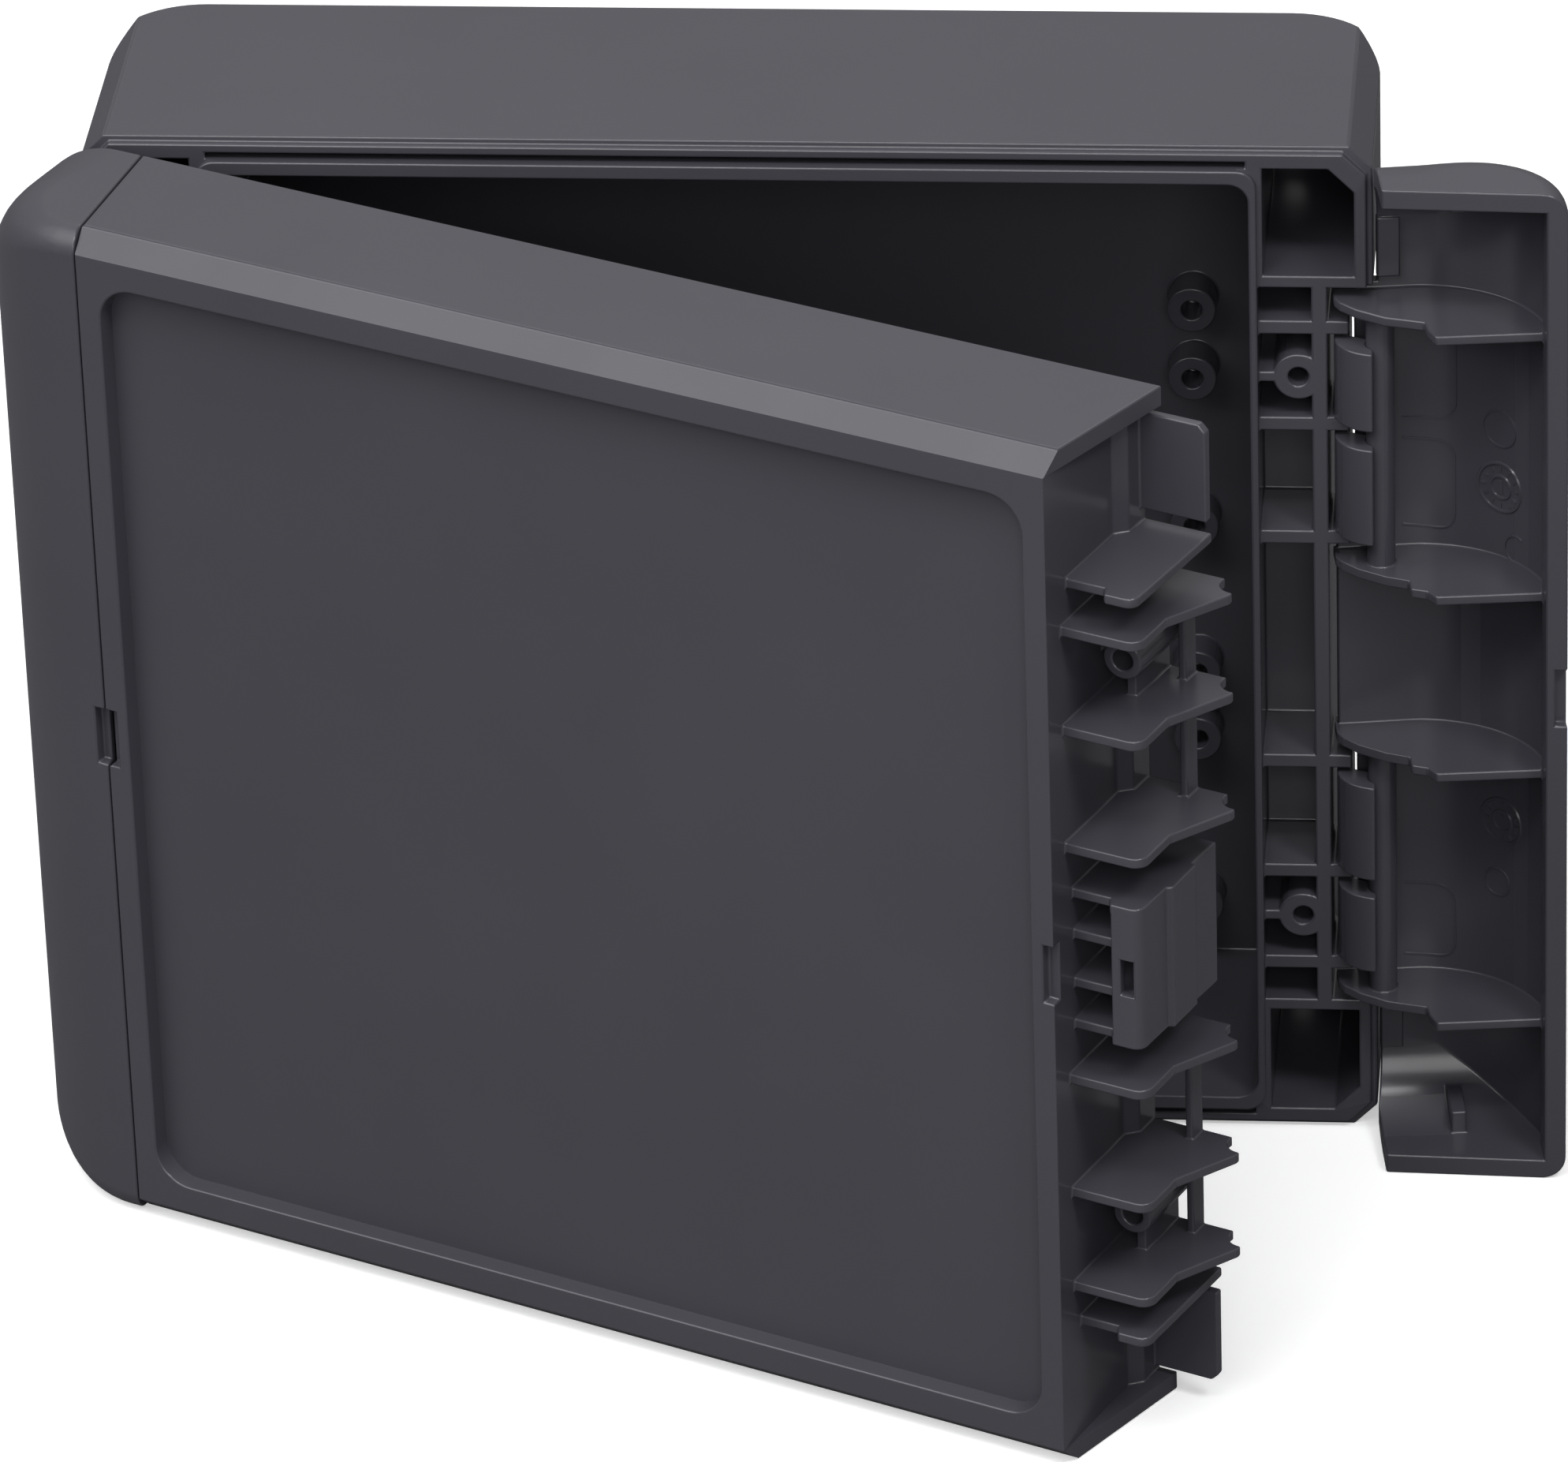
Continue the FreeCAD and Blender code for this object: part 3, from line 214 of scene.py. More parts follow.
class EnclosureStudio(bpy.types.PropertyGroup):
    """Floor, lamps and camera."""

    camera_place: FloatVectorProperty(
        name="Camera", description="Camera's place", default=(0.202884, -2.012736, 1.080797),
        subtype="TRANSLATION")
    camera_turn: FloatVectorProperty(
        name="Camera turn", description="Camera's rotation about X, Y and Z",
        default=tuple(math.radians(angle) for angle in (60.68842, 1.74821, 4.71707)), subtype="EULER")
    camera_lens: FloatProperty(
        name="Lens", description="Focal length on a sensor 36 mm wide", default=259.755, unit="CAMERA")
    floor_hex: StringProperty(name="Floor", description="Pale floor", default="#F6F6F7")
    bounce_hex: StringProperty(
        name="Floor bounce", description="Floor as it throws light back at the object", default="#808082")
    floor_glow: FloatProperty(
        name="Floor glow", description="Lift that brings the lit floor up to the white background",
        default=0.42, min=0)
    key_power: FloatProperty(
        name="Key light", description="Large soft box above and to the left", default=38, unit="POWER")
    fill_power: FloatProperty(
        name="Fill light", description="Soft box beside the camera", default=9, unit="POWER")
    side_power: FloatProperty(
        name="Side light", description="Small box above and to the right", default=10, unit="POWER")
    edge_power: FloatProperty(
        name="Edge light", description="Strip light overhead that draws the edges", default=6,
        unit="POWER")
    rim_power: FloatProperty(
        name="Rim light", description="Strip light behind and above", default=3, unit="POWER")
    sky_strength: FloatProperty(
        name="Sky", description="White surroundings as light", default=0.10, min=0)
    sheen_strength: FloatProperty(
        name="Sky in the sheen", description="White surroundings as the plastic's sheen mirrors them",
        default=0.35, min=0)


# Colours and nodes
def linear(hex_value):
    """An sRGB hex value as the linear colour that a shader takes."""
    channels = [int(hex_value[place:place + 2], 16) / 255 for place in (1, 3, 5)]
    curve = [value / 12.92 if value <= 0.04045 else ((value + 0.055) / 1.055) ** 2.4 for value in channels]
    return (*curve, 1.0)


def add(tree, kind, sockets=None, **settings):
    """A node with its settings; each socket gets a value or a link from another node's output."""
    item = tree.nodes.new(kind)
    for name, value in settings.items():
        setattr(item, name, value)
    for name, value in (sockets or {}).items():
        if isinstance(value, bpy.types.NodeSocket):
            tree.links.new(value, item.inputs[name])
        else:
            item.inputs[name].default_value = value
    return item


def new_material(name):
    """A material with an empty node tree."""
    material = bpy.data.materials.new(name)
    material.use_nodes = True
    material.node_tree.nodes.clear()
    return material


def moulded_plastic(name, finish, roughness, grain_depth, streaks):
    """Injection moulded ABS: even colour, a fine eroded grain and a satin sheen that drifts a little
    where the melt flowed, so broad faces look alive and not painted."""
    material = new_material(name)
    tree = material.node_tree
    place = add(tree, "ShaderNodeTexCoord").outputs["Object"]
    cloud_size = 45 * MM
    flow_size = 14 * MM
    sheen_drift = 0.05
    cloud = add(tree, "ShaderNodeTexNoise", {"Vector": place, "Scale": 1 / cloud_size, "Detail": 2.0})
    tone = add(tree, "ShaderNodeMix", {
        0: cloud.outputs["Fac"], 6: linear(finish.housing_shade_hex), 7: linear(finish.housing_hex)},
        data_type="RGBA")
    flow = add(tree, "ShaderNodeMapping", {"Vector": place, "Scale": (1.0, 1.0, streaks)})
    sheen_cloud = add(tree, "ShaderNodeTexNoise", {
        "Vector": flow.outputs["Vector"], "Scale": 1 / flow_size, "Detail": 3.0})
    sheen = add(tree, "ShaderNodeMapRange", {
        "Value": sheen_cloud.outputs["Fac"],
        "To Min": roughness - sheen_drift, "To Max": roughness + sheen_drift})
    grain = add(tree, "ShaderNodeTexNoise", {
        "Vector": place, "Scale": 1 / finish.grain_size, "Detail": 2.0, "Roughness": 0.6})
    skin = add(tree, "ShaderNodeBump", {
        "Height": grain.outputs["Fac"], "Strength": 0.6, "Distance": grain_depth})
    shader = add(tree, "ShaderNodeBsdfPrincipled", {
        "Base Color": tone.outputs[2], "Roughness": sheen.outputs["Result"], "IOR": 1.53,
        "Normal": skin.outputs["Normal"]})
    add(tree, "ShaderNodeOutputMaterial", {"Surface": shader.outputs["BSDF"]})
    return material


def foam_rubber(name, finish):
    """Foamed-in-place polyurethane seal: dull, open pores under a thin skin, no reflections."""
    material = new_material(name)
    tree = material.node_tree
    place = add(tree, "ShaderNodeTexCoord").outputs["Object"]
    pore_size = 0.7 * MM
    pores = add(tree, "ShaderNodeTexVoronoi", {"Vector": place, "Scale": 1 / pore_size})
    surface = add(tree, "ShaderNodeBump", {
        "Height": pores.outputs["Distance"], "Strength": 0.5, "Distance": 0.06 * MM})
    shader = add(tree, "ShaderNodeBsdfPrincipled", {
        "Base Color": linear(finish.gasket_hex), "Roughness": 0.82, "IOR": 1.48,
        "Normal": surface.outputs["Normal"]})
    add(tree, "ShaderNodeOutputMaterial", {"Surface": shader.outputs["BSDF"]})
    return material


def finishes(scene):
    """The object's materials, made once and found by name afterwards."""
    finish = scene.enclosure_finish
    recipes = {
        "Spark-eroded ABS": lambda name: moulded_plastic(
            name, finish, finish.skin_roughness, finish.grain_depth, 0.4),
        "Tool-smooth ABS": lambda name: moulded_plastic(
            name, finish, finish.core_roughness, finish.grain_depth * 0.4, 0.15),
        "Foamed polyurethane": lambda name: foam_rubber(name, finish),
    }
    for name, recipe in recipes.items():
        if name not in bpy.data.materials:
            recipe(name)
    return {name: bpy.data.materials[name] for name in recipes}


# Places
def opened(joint_name, closed_limit):
    """The turn that carries a place on a closed piece to where that piece rests. The closed limit is
    0 where the joint's lower end is the closed one, and 1 where the upper end is."""
    joint = next(item for item in frame["joints"] if item["name"] == joint_name)
    pivot = Vector(joint["pos_m"])
    turn = Matrix.Rotation(-math.radians(joint["range_deg"][closed_limit]), 4, "Z")
    return Matrix.Translation(pivot) @ turn @ Matrix.Translation(-pivot)


def place_piece(mesh, name, material, body):
    """A visible piece from its mesh, riding on its body."""
    piece = bpy.data.objects.new(name, mesh)
    bpy.context.scene.collection.objects.link(piece)
    if not mesh.materials:
        mesh.materials.append(material)
    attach(piece, body)


# Mouldings
def sink_panel(work, to_rest, forms):
    """Give the lid's recess upright sides and its full depth, and move the wall's inside back as far."""
    to_closed = to_rest.inverted()
    close = 0.1 * MM
    beside_recess = 5 * MM
    sunk = 0
    for vertex in work.verts:
        place = to_closed @ vertex.co
        depth = place.y + forms.front_depth
        across = abs(place.x)
        up = abs(place.z)
        if abs(depth - forms.drawn_wall) < close and across < forms.drawn_half_width + beside_recess:
            vertex.co = to_rest @ Vector((place.x, place.y + forms.panel_depth, place.z))
        if (depth > forms.drawn_wall * 0.5 or across > forms.drawn_half_width + close
                or up > forms.drawn_half_height + close):
            continue
        on_corner = Vector((
            max(0, across - forms.drawn_half_width + forms.drawn_corner),
            max(0, up - forms.drawn_half_height + forms.drawn_corner))).normalized()
        on_floor = depth > close
        inset = forms.panel_corner + (forms.panel_draft if on_floor else 0)
        across = forms.panel_half_width - inset + forms.panel_corner * on_corner.x
        up = forms.panel_half_height - inset + forms.panel_corner * on_corner.y
        depth = forms.panel_depth if on_floor else 0
        vertex.co = to_rest @ Vector((
            math.copysign(across, place.x), depth - forms.front_depth, math.copysign(up, place.z)))
        sunk += on_floor
    if not sunk:
        raise RuntimeError("found no recess in the lid's front")


def trim_stubs(work, to_rest, forms):
    """End the stub ribs flush with the strip's rounded ends."""
    to_closed = to_rest.inverted()
    close = 0.05 * MM
    proud = []
    for vertex in work.verts:
        place = to_closed @ vertex.co
        if abs(abs(place.x) - forms.stub_end) < close and abs(abs(place.z) - forms.stub_top) < close:
            proud.append(vertex)
    if len(proud) != 4:
        raise RuntimeError("expected 4 corners of stub ribs, found %d" % len(proud))
    faces = {face for vertex in proud for face in vertex.link_faces}
    bmesh.ops.delete(work, geom=list(faces), context="FACES")
    bmesh.ops.delete(work, geom=[vertex for vertex in proud if vertex.is_valid], context="VERTS")
    rims = [edge for edge in work.edges if edge.is_boundary]
    bmesh.ops.holes_fill(work, edges=rims, sides=0)
    bmesh.ops.recalc_face_normals(work, faces=work.faces)


def sort_faces(mesh):
    """Give sheltered faces, such as ribs and insides, the second material, which the edges have."""
    corners = [vertex.co.copy() for vertex in mesh.vertices]
    tree = BVHTree.FromPolygons(corners, [tuple(face.vertices) for face in mesh.polygons])
    for face in mesh.polygons:
        start = face.center + face.normal * RAY_LIFT
        side = face.normal.orthogonal()
        other = face.normal.cross(side)
        met = 0
        for tilt_side, tilt_other in RAY_TILTS:
            way = face.normal + side * tilt_side + other * tilt_other
            if tree.ray_cast(start, way.normalized(), RAY_REACH)[0]:
                met += 1
        if met >= SHELTERED:
            face.material_index = 1


def distance_to_segment(point, start, end):
    """How far a point lies from the straight piece between two others."""
    nearest, along = intersect_point_line(point, start, end)
    if along < 0:
        nearest = start
    elif along > 1:
        nearest = end
    return (point - nearest).length


def fit_ends(share, loop, radius):
    """Lower the shares of two edges whose roundings would meet on the short edge between them."""
    taken = 0
    sides = []
    onward = loop.link_loop_next
    for corner, side in ((loop, loop.link_loop_prev.edge), (onward, onward.edge)):
        angle = corner.calc_angle()
        if side not in share or not corner.is_convex or angle < LEAST_CORNER:
            continue
        taken += 1 / math.tan(angle / 2) if loop.edge in share else 1 / max(math.sin(angle), 0.1)
        sides.append(side)
    room = END_ROOM * loop.edge.calc_length() / radius
    if taken > room:
        for side in sides + [loop.edge] * (loop.edge in share):
            share[side] = min(share[side], room / taken)


def fit_sides(share, face, radius):
    """Lower the shares of edges that face each other across a narrow part of a face."""
    sharp = [
        (loop.edge, loop.vert.co, loop.link_loop_next.vert.co)
        for loop in face.loops if loop.edge in share
    ]
    for (one, start, end), (other, far_start, far_end) in itertools.combinations(sharp, 2):
        if (end - start).normalized().dot((far_end - far_start).normalized()) > FACING:
            continue
        if set(one.verts) & set(other.verts):
            continue
        gap = min(
            distance_to_segment(start, far_start, far_end),
            distance_to_segment(end, far_start, far_end),
            distance_to_segment(far_start, start, end),
            distance_to_segment(far_end, start, end))
        part = max(SIDE_ROOM * gap / radius, LEAST_SHARE)
        share[one] = min(share[one], part)
        share[other] = min(share[other], part)


def level_runs(share):
    """Give edges that run on smoothly from one another the smallest share among them."""
    waiting = sorted(share, key=share.get, reverse=True)
    while waiting:
        edge = waiting.pop()
        for vertex in edge.verts:
            ahead = vertex.co - edge.other_vert(vertex).co
            for other in vertex.link_edges:
                if share.get(other, 0) <= share[edge]:
                    continue
                if ahead.angle(other.other_vert(vertex).co - vertex.co, 0) < ONE_RUN:
                    share[other] = share[edge]
                    waiting.append(other)


def share_out_rounding(work, radius):
    """Mark each sharp edge with the part of the radius that the narrow ledges beside it leave room for,
    because a rounding that is wider than its ledge folds the face over."""
    weights = work.edges.layers.float.new("bevel_weight_edge")
    share = {
        edge: 1.0 for edge in work.edges
        if edge.is_manifold and edge.calc_face_angle(0) > SHARP
    }
    for face in work.faces:
        for loop in face.loops:
            fit_ends(share, loop, radius)
        fit_sides(share, face, radius)
    level_runs(share)
    for edge, part in share.items():
        edge[weights] = part


def rounded_copy(node_name, radius, plastics, reshape=None):
    """A node's mesh with its flat faces joined, its form mended and its sharp edges rounded."""
    work = bmesh.new()
    work.from_mesh(frame["nodes"][node_name].data)
    bmesh.ops.remove_doubles(work, verts=work.verts, dist=MERGE_DISTANCE)
    bmesh.ops.dissolve_limit(
        work, angle_limit=FLAT_JOIN, verts=work.verts, edges=work.edges, delimit=set())
    if reshape:
        reshape(work)
    share_out_rounding(work, radius)
    mesh = bpy.data.meshes.new(node_name + "_moulding")
    work.to_mesh(mesh)
    work.free()
    mesh.shade_smooth()
    for plastic in plastics:
        mesh.materials.append(plastic)
    piece = bpy.data.objects.new(node_name + "_moulding", mesh)
    bpy.context.scene.collection.objects.link(piece)
    bevel = piece.modifiers.new("edges", "BEVEL")
    bevel.limit_method = "WEIGHT"
    bevel.width = radius
    bevel.segments = 3
    bevel.use_clamp_overlap = False
    bevel.loop_slide = False
    bevel.material = 1
    normals = piece.modifiers.new("normals", "WEIGHTED_NORMAL")
    normals.weight = 100
    graph = bpy.context.evaluated_depsgraph_get()
    smooth = bpy.data.meshes.new_from_object(piece.evaluated_get(graph))
    piece.modifiers.clear()
    piece.data = smooth
    smooth.name = node_name + "_moulding"
    bpy.data.meshes.remove(mesh)
    sort_faces(smooth)
    return piece


class ENCLOSURE_OT_mouldings(bpy.types.Operator):
    """Round the edges of every moulding and give it its plastic."""

    bl_idname = "enclosure.mouldings"
    bl_label = "Mouldings"

    def execute(self, context):
        finish = context.scene.enclosure_finish
        plastics = [finishes(context.scene)[name] for name in ("Spark-eroded ABS", "Tool-smooth ABS")]
        forms = context.scene.enclosure_forms
        lid_turn = opened("lid_swing", 1)
        strip_turn = opened("right_strip_swing", 0)
        mouldings = (
            ("base", "base", None),
            ("lid", "lid", lambda work: sink_panel(work, lid_turn, forms)),
            ("left_cover_strip", "lid", lambda work: trim_stubs(work, lid_turn, forms)),
            ("right_cover_strip", "right_cover_strip", lambda work: trim_stubs(work, strip_turn, forms)),
        )
        for node_name, body, reshape in mouldings:
            piece = rounded_copy(node_name, finish.edge_radius, plastics, reshape)
            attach(piece, body)
            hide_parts(node_name)
        return {"FINISHED"}


class ENCLOSURE_OT_gasket(bpy.types.Operator):
    """Give the lid's seal its foam."""

    bl_idname = "enclosure.gasket"
    bl_label = "Gasket"

    def execute(self, context):
        gasket = frame["nodes"]["lid_gasket"]
        gasket.data.materials.clear()
        gasket.data.materials.append(finishes(context.scene)["Foamed polyurethane"])
        return {"FINISHED"}


# Mould marks on the inside of the open strip
def strip_wall_place(marks, bend_angle, height):
    """A place on the closed strip's inner wall and the way that the wall faces there. The angle runs
    round the bend from the side to the front; below zero it runs back along the flat side."""
    centre_x = marks.strip_side - marks.strip_bend
    centre_y = -marks.rim_depth - marks.bend_start
    if bend_angle < 0:
        back = -bend_angle * marks.strip_bend
        return Vector((marks.strip_side, centre_y + back, height)), Vector((-1, 0, 0))
    outward = Vector((math.cos(bend_angle), -math.sin(bend_angle), 0))
    return Vector((centre_x, centre_y, height)) + outward * marks.strip_bend, -outward


def ridge_along(path, normals, width, height, closed):
    """A low raised line along a path, sunk a little so that it grows out of the wall."""
    work = bmesh.new()
    rows = []
    count = len(path)
    for index, (point, normal) in enumerate(zip(path, normals)):
        before = path[index - 1] if closed or index else path[index]
        after = path[(index + 1) % count] if closed or index < count - 1 else path[index]
        side = (after - before).cross(normal).normalized() * width * 0.5
        sunk = point - normal * height
        raised = point + normal * height
        rows.append([work.verts.new(corner) for corner in (
            sunk - side, raised - side * 0.4, raised + side * 0.4, sunk + side)])
    last = count if closed else count - 1
    for index in range(last):
        here = rows[index]
        there = rows[(index + 1) % count]
        for edge in range(4):
            work.faces.new((here[edge], here[(edge + 1) % 4], there[(edge + 1) % 4], there[edge]))
    if not closed:
        work.faces.new(rows[0][::-1])
        work.faces.new(rows[-1])
    bmesh.ops.recalc_face_normals(work, faces=work.faces)
    return work


def join_work(parts, name, turn):
    """One mesh from several bmesh parts, carried to where the piece rests."""
    whole = bmesh.new()
    for part in parts:
        scratch = bpy.data.meshes.new("part")
        part.to_mesh(scratch)
        part.free()
        whole.from_mesh(scratch)
        bpy.data.meshes.remove(scratch)
    whole.transform(turn)
    mesh = bpy.data.meshes.new(name)
    whole.to_mesh(mesh)
    whole.free()
    mesh.shade_smooth()
    mesh.set_sharp_from_angle(angle=MARK_EDGE)
    return mesh


def ring_on_strip(marks, bend_degrees, height, radius, spread):
    """A round raised line on the strip's inner wall, whole or over part of a turn."""
    start, end = (math.radians(angle) for angle in spread)
    whole = spread == (0, 360)
    path = []
    normals = []
    for step in range(RING_STEPS if whole else RING_STEPS + 1):
        angle = start + (end - start) * step / RING_STEPS
        bend = math.radians(bend_degrees) + radius * math.cos(angle) / marks.strip_bend
        point, normal = strip_wall_place(marks, bend, height + radius * math.sin(angle))
        path.append(point)
        normals.append(normal)
    return ridge_along(path, normals, marks.ridge_width, marks.ridge_height, whole)


def line_on_strip(marks, corners):
    """A raised line through corners, each a bend angle in degrees and a height in millimetres."""
    def place(corner):
        return Vector((math.radians(corner[0]) * marks.strip_bend, corner[1] * MM))

    flat = [place(corner) for corner in corners]
    route = [flat[0]]
    for index in range(1, len(flat) - 1):
        here = flat[index]
        into = (flat[index - 1] - here).normalized() * INSERT_CORNER
        out = (flat[index + 1] - here).normalized() * INSERT_CORNER
        for step in range(CORNER_STEPS + 1):
            along = step / CORNER_STEPS
            route.append(here + into * (1 - along) ** 2 + out * along ** 2)
    route.append(flat[-1])
    dense = [route[0]]
    for start, end in zip(route, route[1:]):
        pieces = max(1, int((end - start).length / LINE_PIECE))
        dense += [start.lerp(end, step / pieces) for step in range(1, pieces + 1)]
    spots = [strip_wall_place(marks, point.x / marks.strip_bend, point.y) for point in dense]
    return ridge_along([spot[0] for spot in spots], [spot[1] for spot in spots],
                       marks.ridge_width, marks.ridge_height, False)


class ENCLOSURE_OT_tool_marks(bpy.types.Operator):
    """Draw the pin rings and insert outlines that the mould tool leaves in the open strip."""

    bl_idname = "enclosure.tool_marks"
    bl_label = "Tool marks"

    def execute(self, context):
        marks = context.scene.enclosure_marks
        plastic = finishes(context.scene)["Tool-smooth ABS"]
        parts = [
            ring_on_strip(marks, bend, height * MM, radius * MM, spread)
            for bend, height, radius, spread in PIN_RINGS
        ]
        parts += [line_on_strip(marks, corners) for corners in INSERT_LINES]
        mesh = join_work(parts, "strip_tool_marks", opened("right_strip_swing", 0))
        place_piece(mesh, "strip_tool_marks", plastic, "right_cover_strip")
        return {"FINISHED"}


def dial_tree(name):
    """Geometry nodes for a plain dial insert: two rings, ticks between them and a pointer, all raised."""
    rim, hub, tick_circle, tick_reach, pointer_reach = 1.0, 0.46, 0.76, 0.2, 0.55
    pointer_lines = 2.5
    tree = bpy.data.node_groups.new(name, "GeometryNodeTree")
    sockets = tree.interface
    sockets.new_socket("Radius", in_out="INPUT", socket_type="NodeSocketFloat")
    sockets.new_socket("Line", in_out="INPUT", socket_type="NodeSocketFloat")
    sockets.new_socket("Ticks", in_out="INPUT", socket_type="NodeSocketInt")
    sockets.new_socket("Plastic", in_out="INPUT", socket_type="NodeSocketMaterial")
    sockets.new_socket("Geometry", in_out="OUTPUT", socket_type="NodeSocketGeometry")
    given = add(tree, "NodeGroupInput").outputs
    line_section = add(tree, "GeometryNodeCurvePrimitiveCircle", {
        "Resolution": 6, "Radius": given["Line"]})
    joined = []
    for share in (rim, hub):
        size = add(tree, "ShaderNodeMath", {0: given["Radius"], 1: share}, operation="MULTIPLY")
        circle = add(tree, "GeometryNodeCurvePrimitiveCircle", {
            "Resolution": 48, "Radius": size.outputs[0]})
        rail = add(tree, "GeometryNodeCurveToMesh", {
            "Curve": circle.outputs["Curve"], "Profile Curve": line_section.outputs["Curve"]})
        joined.append(rail.outputs["Mesh"])
    spread = add(tree, "ShaderNodeMath", {0: given["Radius"], 1: tick_circle}, operation="MULTIPLY")
    spots = add(tree, "GeometryNodeMeshCircle", {"Vertices": given["Ticks"], "Radius": spread.outputs[0]})
    tick_length = add(tree, "ShaderNodeMath", {0: given["Radius"], 1: tick_reach}, operation="MULTIPLY")
    tick_size = add(tree, "ShaderNodeCombineXYZ", {
        "X": tick_length.outputs[0], "Y": given["Line"], "Z": given["Line"]})
    tick = add(tree, "GeometryNodeMeshCube", {"Size": tick_size.outputs[0]})
    position = add(tree, "GeometryNodeInputPosition")
    facing = add(tree, "FunctionNodeAlignRotationToVector", {"Vector": position.outputs[0]}, axis="X")
    ticks = add(tree, "GeometryNodeInstanceOnPoints", {
        "Points": spots.outputs["Mesh"], "Instance": tick.outputs["Mesh"],
        "Rotation": facing.outputs[0]})
    joined.append(ticks.outputs["Instances"])
    pointer_length = add(tree, "ShaderNodeMath", {
        0: given["Radius"], 1: pointer_reach}, operation="MULTIPLY")
    pointer_width = add(tree, "ShaderNodeMath", {
        0: given["Line"], 1: pointer_lines}, operation="MULTIPLY")
    pointer_size = add(tree, "ShaderNodeCombineXYZ", {
        "X": pointer_width.outputs[0], "Y": pointer_length.outputs[0], "Z": given["Line"]})
    pointer = add(tree, "GeometryNodeMeshCube", {"Size": pointer_size.outputs[0]})
    joined.append(pointer.outputs["Mesh"])
    bundle = add(tree, "GeometryNodeJoinGeometry")
    for output in joined:
        tree.links.new(output, bundle.inputs[0])
    solid = add(tree, "GeometryNodeRealizeInstances", {"Geometry": bundle.outputs[0]})
    painted = add(tree, "GeometryNodeSetMaterial", {
        "Geometry": solid.outputs[0], "Material": given["Plastic"]})
    add(tree, "NodeGroupOutput", {"Geometry": painted.outputs[0]})
    return tree


def wrap_on_strip(mesh, marks, bend_angle, height):
    """Lay a flat mark on the strip's curved inner wall."""
    for vertex in mesh.vertices:
        x, y, z = vertex.co
        point, normal = strip_wall_place(marks, bend_angle + x / marks.strip_bend, height + y)
        vertex.co = point + normal * z


class ENCLOSURE_OT_dial_inserts(bpy.types.Operator):
    """Set the plain dial inserts of the mould into the open strip."""

    bl_idname = "enclosure.dial_inserts"
    bl_label = "Dial inserts"

    def execute(self, context):
        marks = context.scene.enclosure_marks
        plastic = finishes(context.scene)["Tool-smooth ABS"]
        tree = dial_tree("Dial insert")
        for number, (bend, height, radius) in enumerate(DIALS, start=1):
            carrier = bpy.data.objects.new("dial", bpy.data.meshes.new("dial"))
            context.scene.collection.objects.link(carrier)
            dial = carrier.modifiers.new("dial", "NODES")
            dial.node_group = tree
            values = {"Radius": radius * MM, "Line": marks.ridge_height * 1.4,
                      "Ticks": marks.dial_ticks, "Plastic": plastic}
            for item in tree.interface.items_tree:
                if item.in_out == "INPUT":
                    dial[item.identifier] = values[item.name]
            mesh = bpy.data.meshes.new_from_object(
                carrier.evaluated_get(context.evaluated_depsgraph_get()))
            bpy.data.objects.remove(carrier)
            wrap_on_strip(mesh, marks, math.radians(bend), height * MM)
            mesh.transform(opened("right_strip_swing", 0))
            mesh.shade_smooth()
            mesh.set_sharp_from_angle(angle=MARK_EDGE)
            place_piece(mesh, "dial_insert_%d" % number, plastic, "right_cover_strip")
        return {"FINISHED"}


# Studio
def area_lamp(name, power, size, place):
    """A rectangular lamp that points at the middle of the enclosure."""
    lamp = bpy.data.lights.new(name, "AREA")
    lamp.shape = "RECTANGLE"
    lamp.size, lamp.size_y = size
    lamp.energy = power
    holder = bpy.data.objects.new(name, lamp)
    holder.location = place
    holder.rotation_euler = (Vector(LAMP_AIM) - Vector(place)).to_track_quat("-Z", "Y").to_euler()
    bpy.context.scene.collection.objects.link(holder)


def white_surroundings(scene, light_level, sheen_level):
    """White to the camera and through glass, paler in the sheen, and weaker still as light."""
    world = bpy.data.worlds.new("Studio")
    scene.world = world
    world.use_nodes = True
    tree = world.node_tree
    tree.nodes.clear()
    path = add(tree, "ShaderNodeLightPath").outputs
    mirrored = add(tree, "ShaderNodeMapRange", {
        "Value": path["Is Glossy Ray"], "To Min": light_level, "To Max": sheen_level})
    seen = add(tree, "ShaderNodeMath", {0: path["Is Camera Ray"], 1: path["Is Transmission Ray"]},
               operation="MAXIMUM")
    level = add(tree, "ShaderNodeMapRange", {
        "Value": seen.outputs[0], "To Min": mirrored.outputs[0], "To Max": 1.0})
    light = add(tree, "ShaderNodeBackground", {"Color": linear("#FFFFFF"), "Strength": level.outputs[0]})
    add(tree, "ShaderNodeOutputWorld", {"Surface": light.outputs[0]})


def floor_paint(studio):
    """Matte white board under the object, which keeps the object's shadow."""
    material = new_material("Matte studio board")
    tree = material.node_tree
    path = add(tree, "ShaderNodeLightPath")
    lift = add(tree, "ShaderNodeMath", {
        0: path.outputs["Is Camera Ray"], 1: studio.floor_glow}, operation="MULTIPLY")
    tint = add(tree, "ShaderNodeMix", {
        0: path.outputs["Is Camera Ray"], 6: linear(studio.bounce_hex), 7: linear(studio.floor_hex)},
        data_type="RGBA")
    board = add(tree, "ShaderNodeBsdfDiffuse", {"Color": tint.outputs[2]})
    glow = add(tree, "ShaderNodeEmission", {"Color": linear("#FFFFFF"), "Strength": lift.outputs[0]})
    both = add(tree, "ShaderNodeAddShader", {0: board.outputs[0], 1: glow.outputs[0]})
    add(tree, "ShaderNodeOutputMaterial", {"Surface": both.outputs[0]})
    return material


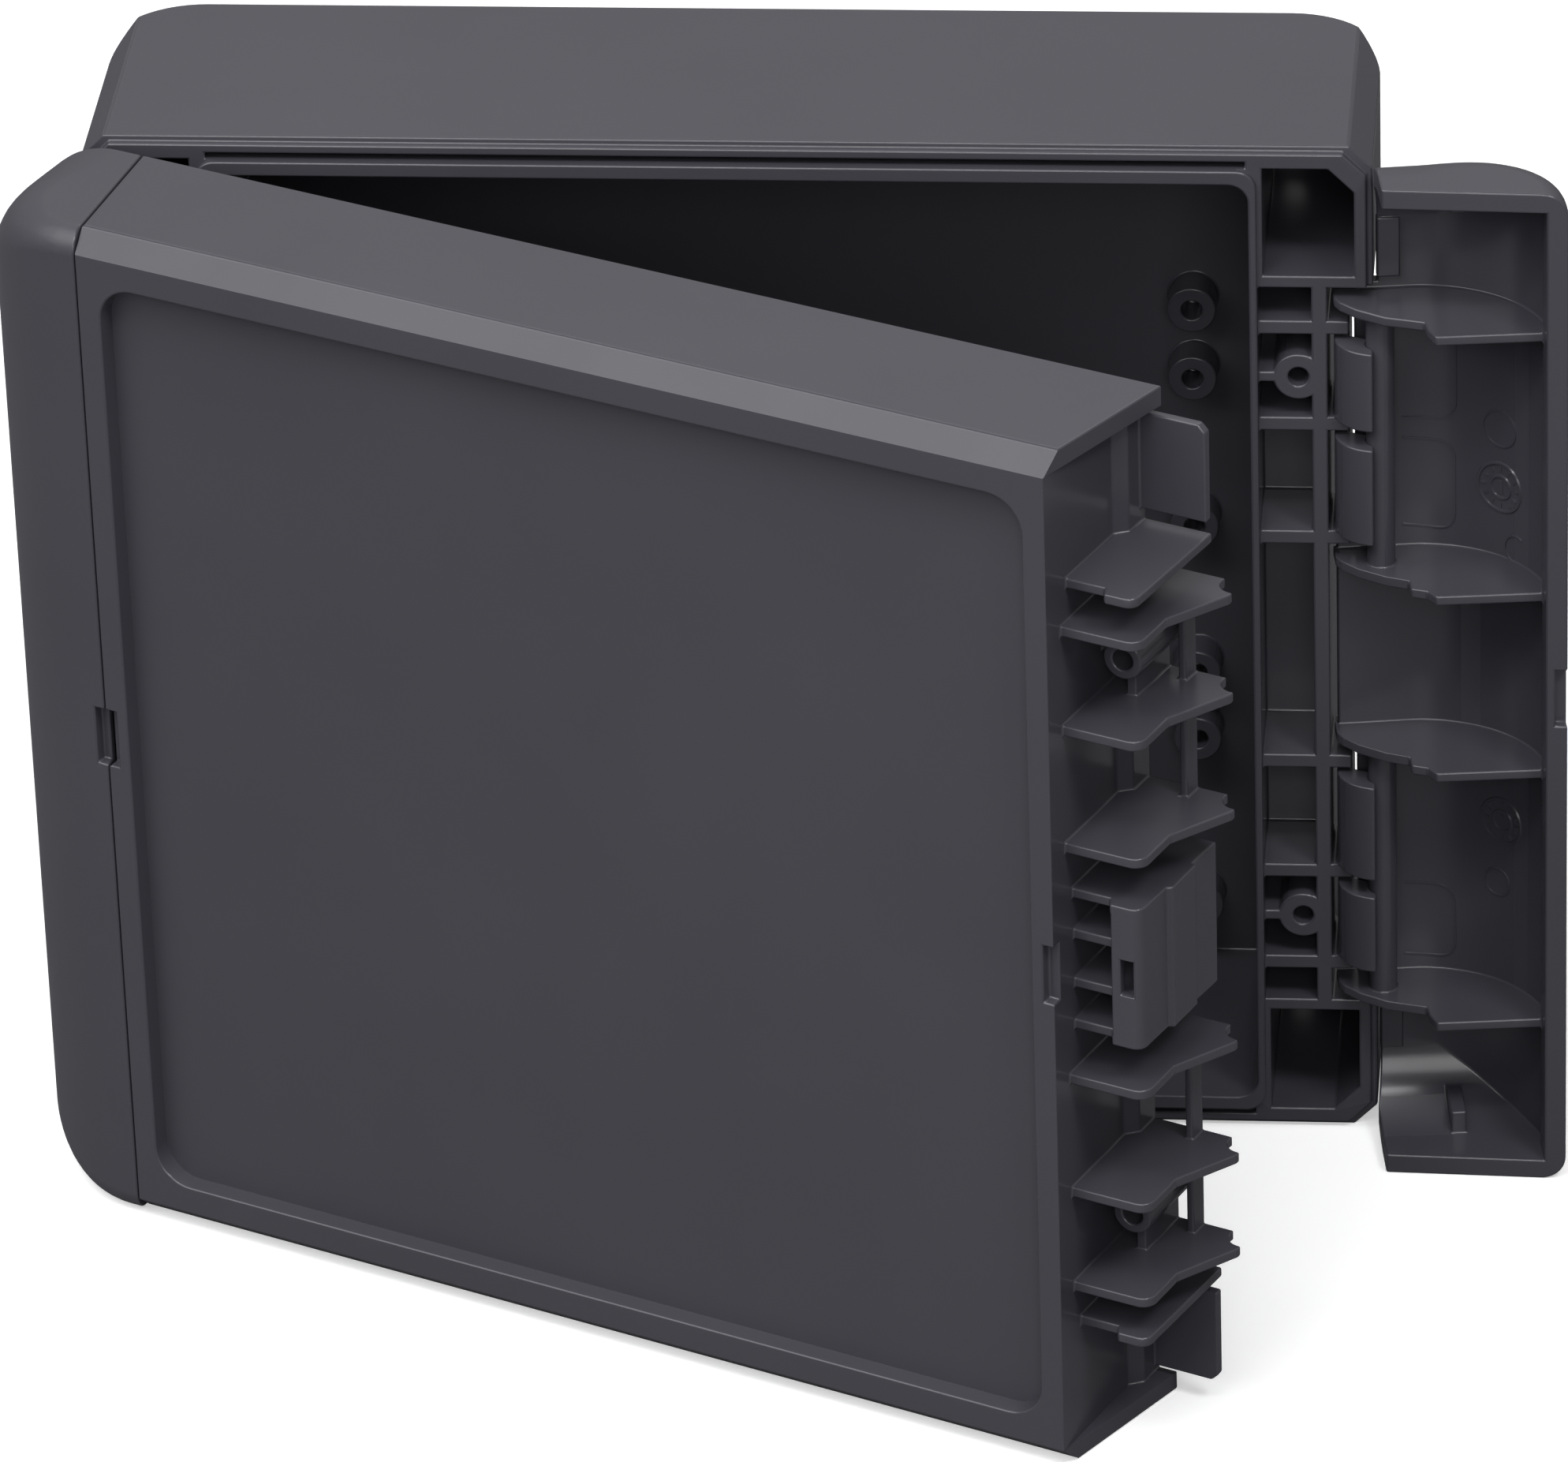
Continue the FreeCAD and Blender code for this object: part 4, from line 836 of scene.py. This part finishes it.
class ENCLOSURE_OT_studio(bpy.types.Operator):
    """Lay the floor, hang the lamps and set up the camera."""

    bl_idname = "enclosure.studio"
    bl_label = "Studio"

    def execute(self, context):
        scene = context.scene
        studio = scene.enclosure_studio
        scene.view_settings.view_transform = "Standard"
        white_surroundings(scene, studio.sky_strength, studio.sheen_strength)
        floor_mesh = bpy.data.meshes.new("floor")
        level = cad_box[0][2]
        corners = [
            (x * FLOOR_REACH, y * FLOOR_REACH, level) for x, y in ((-1, -1), (1, -1), (1, 1), (-1, 1))
        ]
        floor_mesh.from_pydata(corners, [], [(0, 1, 2, 3)])
        floor_mesh.materials.append(floor_paint(studio))
        floor = bpy.data.objects.new("floor", floor_mesh)
        scene.collection.objects.link(floor)
        for name, size, place in LAMPS:
            area_lamp(name, getattr(studio, name + "_power"), size, place)
        camera_data = bpy.data.cameras.new("camera")
        camera_data.sensor_width = 36
        camera_data.lens = studio.camera_lens
        camera_data.clip_end = 20
        camera = bpy.data.objects.new("camera", camera_data)
        camera.location = studio.camera_place
        camera.rotation_euler = Euler(studio.camera_turn)
        scene.collection.objects.link(camera)
        scene.camera = camera
        return {"FINISHED"}


class ENCLOSURE_PT_panel(bpy.types.Panel):
    """Lists the enclosure's operators and values."""

    bl_label = "Enclosure"
    bl_idname = "ENCLOSURE_PT_panel"
    bl_space_type = "VIEW_3D"
    bl_region_type = "UI"
    bl_category = "Enclosure"

    def draw(self, context):
        layout = self.layout
        for operator in OPERATORS:
            layout.operator(operator.bl_idname)
        for group in GROUPS:
            values = getattr(context.scene, group)
            box = layout.box()
            for name in values.__annotations__:
                box.prop(values, name)


GROUPS = {
    "enclosure_finish": EnclosureFinish,
    "enclosure_forms": EnclosureForms,
    "enclosure_marks": EnclosureMarks,
    "enclosure_studio": EnclosureStudio,
}
OPERATORS = (
    ENCLOSURE_OT_mouldings,
    ENCLOSURE_OT_gasket,
    ENCLOSURE_OT_tool_marks,
    ENCLOSURE_OT_dial_inserts,
    ENCLOSURE_OT_studio,
)


def register():
    for item in (*GROUPS.values(), *OPERATORS, ENCLOSURE_PT_panel):
        bpy.utils.register_class(item)
    for name, group in GROUPS.items():
        setattr(bpy.types.Scene, name, PointerProperty(type=group))


def unregister():
    for name in GROUPS:
        delattr(bpy.types.Scene, name)
    for item in reversed((*GROUPS.values(), *OPERATORS, ENCLOSURE_PT_panel)):
        bpy.utils.unregister_class(item)


def main():
    register()
    bpy.ops.enclosure.mouldings()
    bpy.ops.enclosure.gasket()
    bpy.ops.enclosure.tool_marks()
    bpy.ops.enclosure.dial_inserts()
    bpy.ops.enclosure.studio()


if __name__ == "__main__":
    main()
